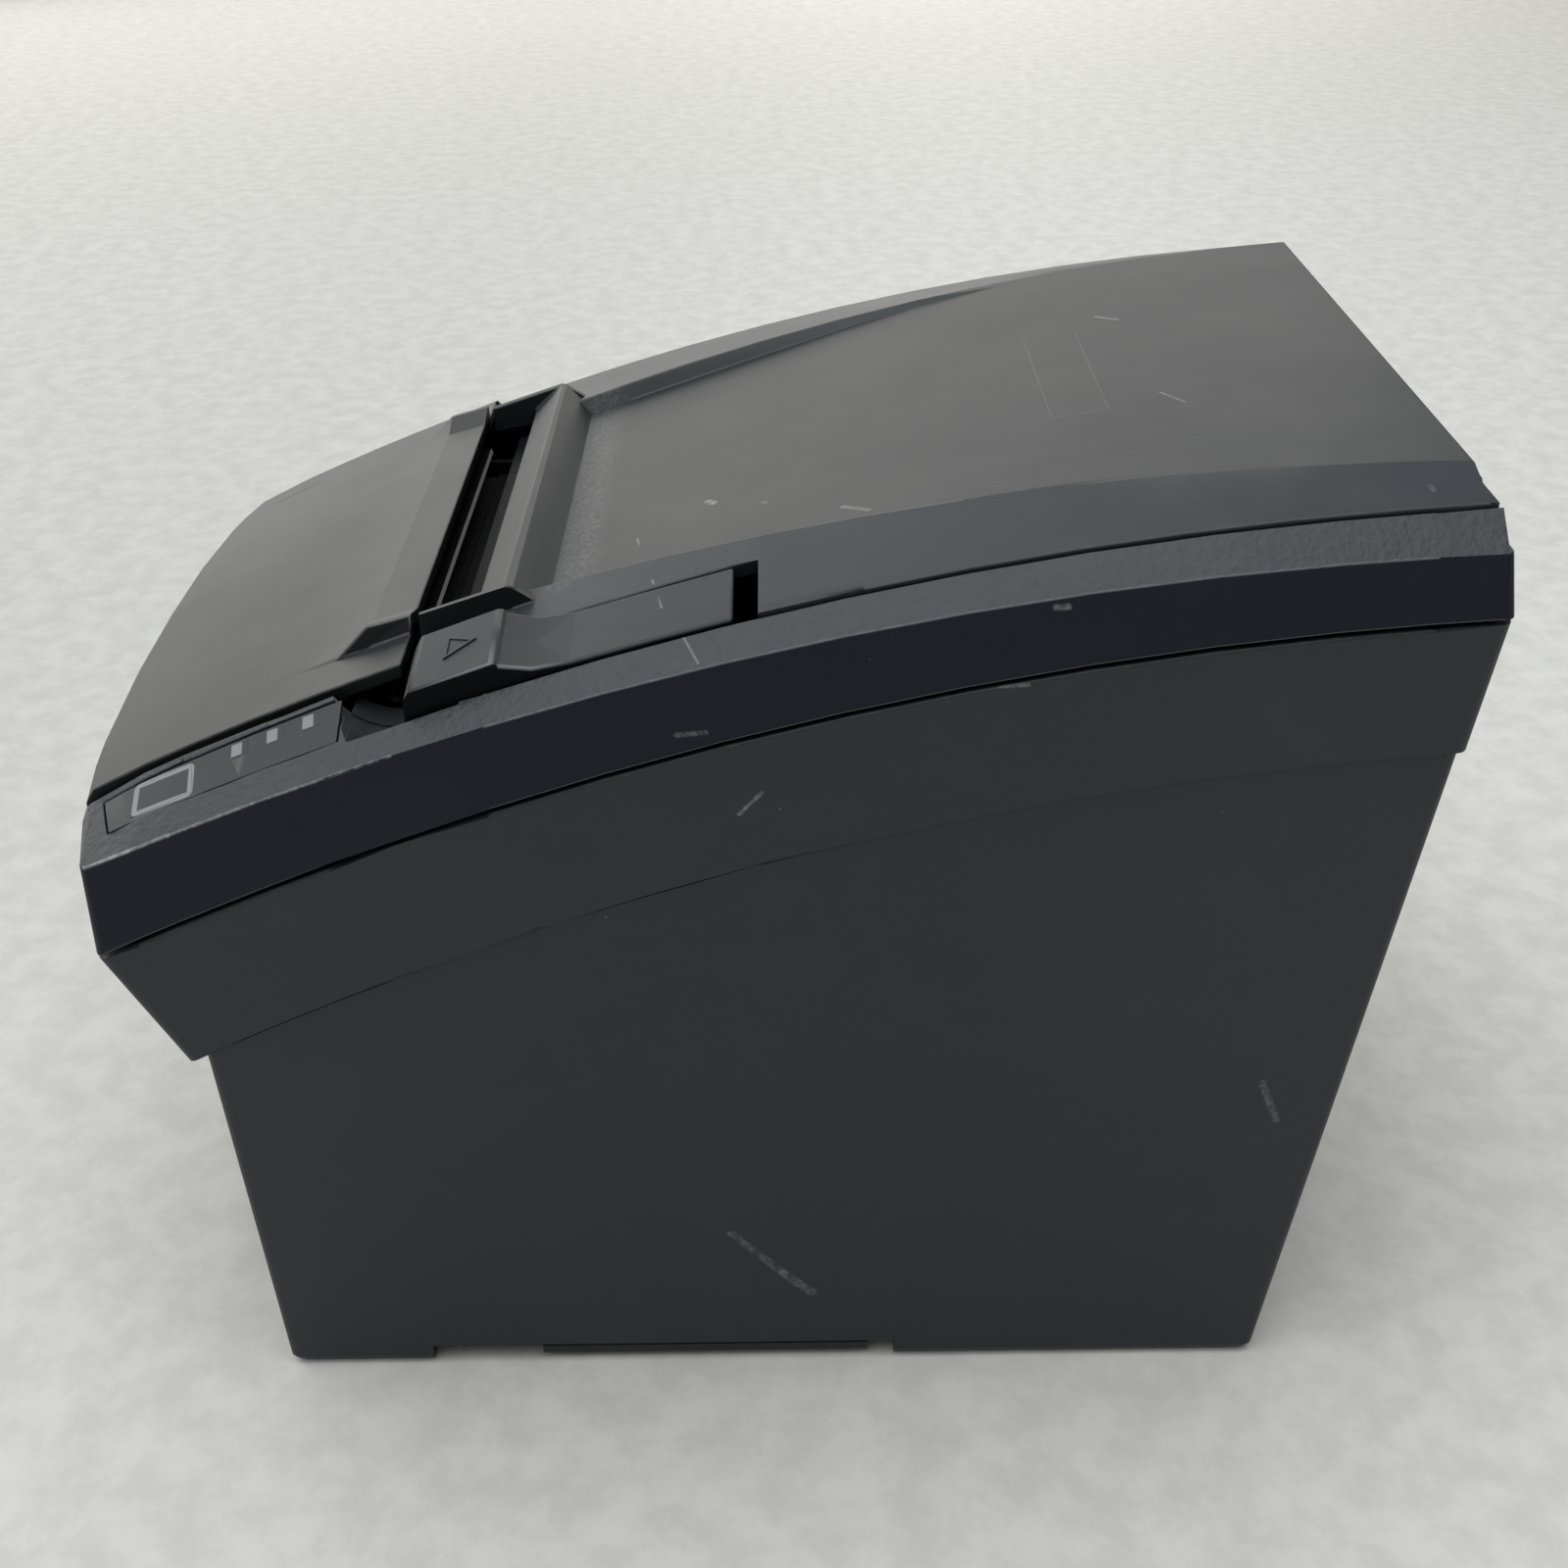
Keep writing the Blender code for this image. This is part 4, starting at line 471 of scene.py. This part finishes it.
# Painted light: the sloping side of the paper cover is the same plastic as the scoop, given a lighter, bluer base
# colour
chamfer_plastic_painted_lighter = plastic("paper cover side, painted lighter", (0.0185, 0.0230, 0.0270), 0.50, 2600.0, 0.00002, dust=0.14,
                          marks=LID_SCUFFS, edge=0.55, edge_keep=0.55, edge_colour=(0.075, 0.076, 0.074), specular=0.5,
                          side=(0.4, 0.35))
lever_plastic = plastic("lever plastic", (0.0085, 0.0112, 0.0135), 0.50, 2600.0, 0.00002, dust=0.10,
                        marks=LEVER_SCUFFS, edge=0.5, edge_keep=0.5, specular=0.5, side=(0.25, 0.08))
pocket_plastic = plastic("dusty pocket plastic", (0.0150, 0.0170, 0.0190), 0.60, 2600.0, 0.00002, dust=0.5,
                         upright=0.5, specular=0.3)
black_plastic = plastic("black inner plastic", (0.006, 0.006, 0.007), 0.60, 2000.0, 0.00001, dust=0.06,
                        specular=0.15)
gear_plastic = plastic("white gear plastic", (0.62, 0.60, 0.54), 0.42, 1500.0, 0.000004, tone=0.08, dust=0.05)
rubber = plastic("platen rubber", (0.010, 0.010, 0.011), 0.80, 3000.0, 0.00001, dust=0.08, specular=0.25)
board = plastic("board resist", (0.012, 0.085, 0.040), 0.35, 900.0, 0.000004, tone=0.1, dust=0.05)
lens = plastic("lens, unlit", (0.36, 0.37, 0.37), 0.30, 1200.0, 0.000002, tone=0.05, dust=0.05)
head_ceramic = plastic("head glaze", (0.004, 0.004, 0.004), 0.60, 900.0, 0.000002, tone=0.08, dust=0.01,
                       specular=0.04)
steel = metal("rolled steel", (0.56, 0.57, 0.58), 0.34, (1.0, 14.0, 14.0))
alloy = metal("black anodised alloy", (0.008, 0.008, 0.009), 0.55, (1.0, 10.0, 10.0), specular=0.10, metallic=0.0)
# Partly the black coating of the inner steel parts, partly painted shade: darkened and given little specular so the
# slots into the mechanism read as shadow
black_steel_and_shade = metal("black coat, painted shade", (0.005, 0.005, 0.006), 0.60, (1.0, 6.0, 6.0), specular=0.08,
                    metallic=0.0)


# Softened copies of the shells

def only(piece):
    bpy.ops.object.select_all(action="DESELECT")
    piece.select_set(True)
    bpy.context.view_layer.objects.active = piece


def settle(piece, name, body, slot, *nodes):
    piece.name = name
    piece.data.name = name
    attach(piece, body)
    if nodes:
        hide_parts(*nodes)
    return piece


def copy_of(node, curved=False):
    """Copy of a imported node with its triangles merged: to quads where it is curved, else to whole faces."""
    only(frame["nodes"][node])
    bpy.ops.object.duplicate()
    piece = bpy.context.view_layer.objects.active
    if "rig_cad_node" in piece:
        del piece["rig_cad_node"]
    piece.parent = None
    piece.matrix_world = Matrix.Identity(4)
    bpy.ops.object.mode_set(mode="EDIT")
    bpy.ops.mesh.select_all(action="SELECT")
    bpy.ops.mesh.remove_doubles(threshold=0.000002)
    if curved:
        for turn in (0.3, 6.0):
            bpy.ops.mesh.select_all(action="SELECT")
            bpy.ops.mesh.tris_convert_to_quads(face_threshold=math.radians(turn), shape_threshold=math.radians(180.0))
    else:
        bpy.ops.mesh.dissolve_limited(angle_limit=math.radians(0.4))
    bpy.ops.object.mode_set(mode="OBJECT")
    return piece


def weigh_edges(piece, width, sharp):
    """Give a bevel weight to each sharp edge with room for the rounding at both its ends."""
    shape = bmesh.new()
    shape.from_mesh(piece.data)
    weight = shape.edges.layers.float.new("bevel_weight_edge")
    for line in shape.edges:
        if len(line.link_faces) != 2 or line.calc_face_angle() < sharp or line.calc_length() < 4 * width:
            continue
        beside = [other for corner in line.verts for other in corner.link_edges if other is not line]
        if all(other.calc_length() > 2.2 * width for other in beside):
            line[weight] = 1.0
    shape.to_mesh(piece.data)
    shape.free()


def round_edges(piece, width, sharp, segments=3):
    """Round the weighted edges and mark the middle of each rounding in the attribute named edge."""
    mesh = piece.data
    count = len(mesh.materials)
    mesh.materials.append(None)
    weigh_edges(piece, width, sharp)
    soft = piece.modifiers.new("soft edge", "BEVEL")
    soft.width = width
    soft.segments = segments
    soft.limit_method = "WEIGHT"
    soft.use_clamp_overlap = False
    soft.harden_normals = True
    soft.material = count
    bpy.ops.object.modifier_apply(modifier=soft.name)
    even = piece.modifiers.new("even shading", "WEIGHTED_NORMAL")
    even.keep_sharp = True
    bpy.ops.object.modifier_apply(modifier=even.name)
    mesh = piece.data
    inner = [True] * len(mesh.vertices)
    for face in mesh.polygons:
        if face.material_index != count:
            for corner in face.vertices:
                inner[corner] = False
    mark = mesh.attributes.new("edge", "FLOAT", "POINT")
    mark.data.foreach_set("value", [1.0 if kept else 0.0 for kept in inner])
    return count


def steady_wide(mesh):
    """Keep wide faces flat where a rounding ends beside them."""
    normals = [corner.vector.copy() for corner in mesh.corner_normals]
    for face in mesh.polygons:
        if face.area < WIDE_FACE:
            continue
        for index in face.loop_indices:
            if normals[index].angle(face.normal, 0.0) > WIDE_TURN:
                normals[index] = face.normal.copy()
    mesh.normals_split_custom_set(normals)


WIDE_FACE = 0.000004
WIDE_TURN = math.radians(9.0)


def softened(node, name, width, finishes, body="case", slot="cover_plastic", sharp=30.0, smooth=30.0,
             curved=False, pick=None, wear_and_highlight=None, trim=None):
    """Copy of a shell with its sharp edges rounded; each face takes the finish that pick chooses."""
    piece = copy_of(node, curved)
    only(piece)
    mesh = piece.data
    if trim:
        for corner in mesh.vertices:
            corner.co.z += trim(corner.co)
    mesh.materials.clear()
    for finish in finishes:
        mesh.materials.append(finish)
    for face in mesh.polygons:
        face.material_index = 0
    bpy.ops.object.shade_smooth_by_angle(angle=math.radians(smooth))
    spare = round_edges(piece, width, math.radians(sharp))
    mesh = piece.data
    for face in mesh.polygons:
        face.material_index = pick(face) if pick else 0
    mesh.materials.pop(index=spare)
    if wear_and_highlight:
        mark = mesh.attributes["edge"]
        for index, corner in enumerate(mesh.vertices):
            mark.data[index].value *= wear_and_highlight(corner.co)
    if not curved:
        steady_wide(mesh)
    return settle(piece, name, body, slot, node)


HALF_WIDTH = cad_box[1][0]


POCKET_LOW = Vector((0.0560, -0.0545, 0.1000))
POCKET_HIGH = Vector((0.0662, -0.0440, 0.1200))


def band_finish(face):
    """Band, strip on top, or the finger pocket under the lever."""
    spot = face.center
    if all(POCKET_LOW[i] < spot[i] < POCKET_HIGH[i] for i in range(3)):
        return 2
    return 1 if face.normal.z > 0.5 else 0


def rim_wear_and_highlight(place):
    """The outer top edge of the band carries a bright line: partly wear, partly a painted highlight of its rounding.
    """
    return 0.0 if place.x < HALF_WIDTH - 0.0036 else 0.45


softened("lower_case", "tub", 0.0005, [tub_plastic], slot="tub_plastic")
softened("upper_case", "band", 0.00025, [band_plastic, strip_plastic, pocket_plastic], slot="band_plastic", pick=band_finish,
         wear_and_highlight=rim_wear_and_highlight)
RAIL_FOOT = 0.0470
RAIL_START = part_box("front_cover")[1][1] - 0.0109
CROWN_LEFT = 0.00036


def level_beside_rail(place):
    """The crown of the front cover runs on beside the ridge."""
    return CROWN_LEFT if abs(abs(place.x) - RAIL_FOOT) < 0.0002 and place.y > RAIL_START else 0.0


RIDGE_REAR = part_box("front_cover")[1][1] + 0.016


# Painted highlight: the pale edge line is full strength along the edges of the ridge and a quarter as strong elsewhere
# on the lid
def ridge_highlight(place):
    return 1.0 if place.y < RIDGE_REAR else 0.25


def lid_scoop_or_lit_side(face):
    """Scoop, or the sloping side outside the crest, which takes a lighter, bluer copy of the cover plastic as painted
    light.
    """
    return 1 if face.center.x > CREST_INNER and face.normal.x > 0.08 and face.normal.z > 0.4 else 0


CREST_INNER = 0.0450


def even_scoop(mesh):
    """Shade the floor of the scoop as one curve from front to rear."""
    floor = [face for face in mesh.polygons
             if abs(face.normal.x) < 0.03 and face.normal.z > 0.95 and SCOOP_FRONT < face.center.y < SCOOP_REAR]
    rows = [(face.center.y, face.normal.y / face.normal.z, face.area) for face in floor]
    normals = [corner.vector.copy() for corner in mesh.corner_normals]
    for face in floor:
        for index in face.loop_indices:
            along = mesh.vertices[mesh.loops[index].vertex_index].co.y
            shares = [area * math.exp(-((along - middle) / SCOOP_BLEND) ** 2) for middle, _, area in rows]
            slope = sum(share * row[1] for share, row in zip(shares, rows)) / sum(shares)
            normals[index] = Vector((0.0, slope, 1.0)).normalized()
    mesh.normals_split_custom_set(normals)


SCOOP_FRONT = 0.0
SCOOP_REAR = 0.0948
SCOOP_BLEND = 0.012
lid = softened("paper_cover", "lid", 0.0003, [lid_plastic, chamfer_plastic_painted_lighter], body="paper_cover", smooth=8.0,
               curved=True, pick=lid_scoop_or_lit_side, wear_and_highlight=ridge_highlight)
even_scoop(lid.data)
softened("front_cover", "front_lid", 0.0003, [hatch_plastic], body="front_cover", smooth=9.0, curved=True,
         trim=level_beside_rail)
LEVER_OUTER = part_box("cover_lever")[1][0] - 0.0012
LEVER_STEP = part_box("cover_lever")[0][1] + 0.0115
LEVER_RUN = 0.0075


def lever_edge_line(place):
    """The outer edge of the lever carries a strong edge line behind the pad and a faint one elsewhere."""
    return 0.8 if place.x > LEVER_OUTER and LEVER_STEP < place.y < LEVER_STEP + LEVER_RUN else 0.03


softened("cover_lever", "lever", 0.0005, [lever_plastic], body="cover_lever", smooth=16.0, curved=True,
         wear_and_highlight=lever_edge_line)


def pocket_floor():
    """Inner end of the finger pocket: the round floor carried on under the covers, where dust gathers."""
    bpy.ops.object.select_all(action="DESELECT")
    bpy.ops.mesh.primitive_cylinder_add(vertices=96, radius=FLOOR_RADIUS, depth=FLOOR_LENGTH, location=FLOOR_MIDDLE,
                                        rotation=(0.0, math.pi / 2, 0.0), end_fill_type="NOTHING")
    piece = bpy.context.view_layer.objects.active
    bpy.ops.object.transform_apply(location=True, rotation=True, scale=True)
    bpy.ops.object.mode_set(mode="EDIT")
    for spot, way in FLOOR_CUTS:
        bpy.ops.mesh.select_all(action="SELECT")
        bpy.ops.mesh.bisect(plane_co=spot, plane_no=way, clear_outer=True)
    bpy.ops.object.mode_set(mode="OBJECT")
    sheet = piece.modifiers.new("sheet", "SOLIDIFY")
    sheet.thickness = 0.0003
    bpy.ops.object.modifier_apply(modifier=sheet.name)
    bpy.ops.object.shade_smooth_by_angle(angle=math.radians(30.0))
    piece.data.materials.append(pocket_plastic)
    settle(piece, "pocket_floor", "case", "band_plastic")


FLOOR_RADIUS = 0.0105
FLOOR_LENGTH = 0.0054
FLOOR_MIDDLE = (0.0561, -0.0489, 0.12046)
FLOOR_CUTS = (((0, -0.0552, 0), (0, -1, 0)), ((0, -0.0473, 0), (0, 1, 0)), ((0, 0, 0.1145), (0, 0, 1)))
pocket_floor()


def push_mark():
    """Raised triangle outline on the pad of the lever, pointing the way it is pushed."""
    pad = max((face for face in frame["nodes"]["cover_lever"].data.polygons
               if (face.center - PAD_SPOT).length < PAD_REACH), key=lambda face: face.normal.dot(PAD_TILT))
    normal = pad.normal
    ahead = (Vector((0, 1, 0)) - normal * normal.y).normalized()
    centre = PAD_SPOT - normal * (PAD_SPOT - pad.center).dot(normal)
    bpy.ops.object.select_all(action="DESELECT")
    bpy.ops.mesh.primitive_circle_add(vertices=3, radius=MARK_RADIUS, fill_type="NGON")
    piece = bpy.context.view_layer.objects.active
    bpy.ops.object.mode_set(mode="EDIT")
    bpy.ops.mesh.select_all(action="SELECT")
    bpy.ops.mesh.inset(thickness=MARK_LINE)
    bpy.ops.mesh.delete(type="FACE")
    bpy.ops.mesh.select_all(action="SELECT")
    bpy.ops.mesh.extrude_region_move(TRANSFORM_OT_translate={"value": (0, 0, MARK_RISE)})
    bpy.ops.mesh.select_all(action="SELECT")
    bpy.ops.mesh.normals_make_consistent(inside=False)
    bpy.ops.object.mode_set(mode="OBJECT")
    across = ahead.cross(normal)
    piece.matrix_world = Matrix((
        (across.x, ahead.x, normal.x, centre.x), (across.y, ahead.y, normal.y, centre.y),
        (across.z, ahead.z, normal.z, centre.z - MARK_RISE * 0.4), (0, 0, 0, 1)))
    bpy.ops.object.transform_apply(location=True, rotation=True, scale=True)
    piece.data.materials.append(lever_plastic)
    settle(piece, "push_mark", "cover_lever", "cover_plastic")


PAD_SPOT = Vector((0.0580, -0.0400, 0.1221))
PAD_REACH = 0.008
PAD_TILT = Vector((0.16, -0.34, 0.93))
MARK_RADIUS = 0.0031
MARK_LINE = 0.00045
MARK_RISE = 0.00022
push_mark()


def top_layout(node):
    """Centre and directions of the top face of a small block set in the strip, and its half sizes."""
    mesh = frame["nodes"][node].data
    normal = max(mesh.polygons, key=lambda face: face.normal.z).normal.copy()
    along = Vector((0.0, normal.z, -normal.y)).normalized()
    across = along.cross(normal)
    spots = [corner.co for corner in mesh.vertices]
    low = [min(spot.dot(way) for spot in spots) for way in (across, along, normal)]
    high = [max(spot.dot(way) for spot in spots) for way in (across, along, normal)]
    centre = across * (low[0] + high[0]) / 2 + along * (low[1] + high[1]) / 2 + normal * high[2]
    return centre, across, along, normal, (high[0] - low[0]) / 2, (high[1] - low[1]) / 2


def film_height(along, normal, spot):
    """Height of the panel film beside a spot, along the normal of the block set in it."""
    faces = [face for face in frame["nodes"]["control_panel"].data.polygons if face.normal.dot(normal) > 0.95]
    beside = min(faces, key=lambda face: abs((face.center - spot).dot(along)))
    return (beside.center - spot).dot(beside.normal) / normal.dot(beside.normal)


def plug(node, name, finish, grow, body, slot):
    """Copy of a small block, grown to fill its opening and bent level with the film around it."""
    centre, across, along, normal, _, _ = top_layout(node)
    piece = copy_of(node)
    piece.data.materials.clear()
    piece.data.materials.append(finish)
    for corner in piece.data.vertices:
        away = corner.co - centre
        corner.co += across * math.copysign(grow, away.dot(across)) + along * math.copysign(grow, away.dot(along))
    bpy.ops.object.mode_set(mode="EDIT")
    bpy.ops.mesh.select_all(action="SELECT")
    bpy.ops.mesh.subdivide(number_cuts=5)
    bpy.ops.object.mode_set(mode="OBJECT")
    for corner in piece.data.vertices:
        if (corner.co - centre).dot(normal) > -0.0002:
            corner.co += normal * (film_height(along, normal, corner.co) + FILM_PROUD)
    bpy.ops.object.shade_smooth_by_angle(angle=math.radians(30.0))
    settle(piece, name, body, slot, node)


FILM_GAP = 0.0003
FILM_PROUD = 0.00002
FILM_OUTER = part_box("control_panel")[1][0] - 0.0001
LENSES = ("lens_power", "lens_error", "lens_paper")
PRINT_TURN = 0.05


def print_layout(node, half_across, half_along, shift, **more):
    """Where a mark is printed round the middle of a small block, turned a little with the strip."""
    centre, across, along, normal, _, _ = top_layout(node)
    ahead = (along + across * PRINT_TURN).normalized()
    return dict(Centre=centre + ahead * shift, Across=ahead.cross(normal), Along=ahead, Half_Across=half_across,
                Half_Along=half_along, **more)


prints = [("Outline", RING_GREY, 1.0,
           print_layout("feed_button", 0.00305, 0.00500, 0.0002, Corner=0.0010, Line=0.0009))]
for node in LENSES:
    prints.append(("Area", WINDOW_GREY, 0.9, print_layout(node, 0.0011, 0.00085, -0.0005, Corner=0.0001)))
panel_film = plastic("panel film", (0.0190, 0.0220, 0.0240), 0.42, 2600.0, 0.00001, dust=0.08, specular=0.5,
                     prints=prints)
film_sheet = copy_of("control_panel", curved=True)
film_sheet.data.materials.clear()
film_sheet.data.materials.append(panel_film)
for corner in film_sheet.data.vertices:
    if corner.co.x > FILM_OUTER:
        corner.co.x += FILM_GAP - 0.00006
bpy.ops.object.shade_flat()
settle(film_sheet, "film_sheet", "case", "black_plastic", "control_panel")
plug("feed_button", "button_film", panel_film, FILM_GAP - 0.00004, "feed_button", "black_plastic")
for node in LENSES:
    plug(node, node + "_window", panel_film, FILM_GAP - 0.00001, "case", "lens")

blade_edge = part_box("moving_blade")[1][1] - 0.0003
blade_steel = metal("blackened blade, ground edge", (0.006, 0.006, 0.007), 0.40, (1.0, 8.0, 8.0), specular=0.1,
                    ground_glint_from=("Y", blade_edge, 0.00003))
plate_steel = metal("black painted plate", (0.016, 0.017, 0.018), 0.50, specular=0.4, metallic=0.0)

by_slot = {
    "tub_plastic": tub_plastic, "band_plastic": band_plastic, "cover_plastic": lid_plastic,
    "black_plastic": black_plastic, "steel": steel, "alloy": alloy, "rubber": rubber,
    "gear_plastic": gear_plastic, "board": board, "lens": lens, "head_ceramic": head_ceramic,
}
by_node = {
    "control_panel": panel_film, "bottom_plate": plate_steel, "heat_sink": black_steel_and_shade,
    "moving_blade": blade_steel, "fixed_blade": black_steel_and_shade, "cutter_frame": black_steel_and_shade,
    "mechanism_frame": black_steel_and_shade, "tear_bar": black_steel_and_shade, "platen_holder": black_steel_and_shade,
    "paper_guide": black_steel_and_shade,
}
for entry in frame["record"]["subparts"]:
    shown = frame["nodes"][entry["node"]]
    shown.data.materials.clear()
    shown.data.materials.append(by_node.get(entry["node"], by_slot[entry["material_slot"]]))


# Floor, light and camera

def lay_floor():
    bpy.ops.object.select_all(action="DESELECT")
    bpy.ops.mesh.primitive_plane_add(size=8.0, location=(0.0, 0.0, 0.0))
    floor = bpy.context.view_layer.objects.active
    floor.name = "floor"
    made, tree, shader = new_material("pale floor")
    shader.inputs["Roughness"].default_value = 0.8
    place = put(tree, "ShaderNodeTexCoord").outputs["Object"]
    mottle = ramp(tree, noise(tree, place, 110.0, 6.0, 0.66), 0.34, 0.66)
    # Painted light: the near floor is given a lighter colour that lifts the shadow cast toward the camera, the far
    # floor a darker one; the mottle is the floor's own pattern
    near = tint(tree, mottle, (0.630, 0.606, 0.562), (0.715, 0.690, 0.642))
    far = tint(tree, mottle, (0.550, 0.536, 0.500), (0.630, 0.616, 0.578))
    reach = put(tree, "ShaderNodeSeparateXYZ")
    wire(tree, place, reach.inputs[0])
    blend = tint(tree, ramp(tree, reach.outputs["X"], 0.10, -0.25), near, far)
    # Painted light: brightness ramps from one side of the floor to the other
    painted_light_ramp = put(tree, "ShaderNodeVectorMath", operation="SCALE")
    wire(tree, blend, painted_light_ramp.inputs[0])
    wire(tree, ramp(tree, reach.outputs["Y"], -0.18, 0.18, 0.90, 1.09), painted_light_ramp.inputs["Scale"])
    wire(tree, painted_light_ramp.outputs["Vector"], shader.inputs["Base Color"])
    floor.data.materials.append(made)


def soft_box(name, place, aim, width, height, watts, colour):
    lamp = bpy.data.lights.new(name, "AREA")
    lamp.shape = "RECTANGLE"
    lamp.size = width
    lamp.size_y = height
    lamp.energy = watts
    lamp.color = colour
    bulb = bpy.data.objects.new(name, lamp)
    way = Vector(aim) - Vector(place)
    bulb.rotation_euler = way.to_track_quat("-Z", "Y").to_euler()
    bulb.location = place
    scene.collection.objects.link(bulb)


def light_studio():
    world = bpy.data.worlds.new("studio")
    scene.world = world
    world.use_nodes = True
    world.node_tree.nodes["Background"].inputs["Color"].default_value = (0.97, 0.99, 1.0, 1.0)
    world.node_tree.nodes["Background"].inputs["Strength"].default_value = 0.27
    soft_box("overhead", (0.25, -0.35, 1.6), (0.1, -0.1, 0), 2.4, 2.2, 33.5, (0.93, 0.98, 1.03))
    soft_box("window", (-1.35, -0.58, 0.53), (0, 0, 0.1), 2.8, 1.0, 14.8, (1.0, 0.985, 0.94))


def set_camera():
    turn, rise, lean = math.radians(90.037), math.radians(28.971), math.radians(-0.779)
    back = Vector((math.sin(turn) * math.cos(rise), -math.cos(turn) * math.cos(rise), math.sin(rise)))
    level = Vector((0, 0, 1)).cross(back).normalized()
    over = back.cross(level)
    right = level * math.cos(lean) + over * math.sin(lean)
    up = over * math.cos(lean) - level * math.sin(lean)
    lens_data = bpy.data.cameras.new("camera")
    lens_data.sensor_width = 36.0
    lens_data.lens = 47.025
    lens_data.clip_start = 0.01
    camera = bpy.data.objects.new("camera", lens_data)
    camera.matrix_world = Matrix((
        (right.x, up.x, back.x, 0.311178), (right.y, up.y, back.y, 0.004561),
        (right.z, up.z, back.z, 0.239982), (0, 0, 0, 1)))
    scene.collection.objects.link(camera)
    scene.camera = camera


lay_floor()
light_studio()
set_camera()
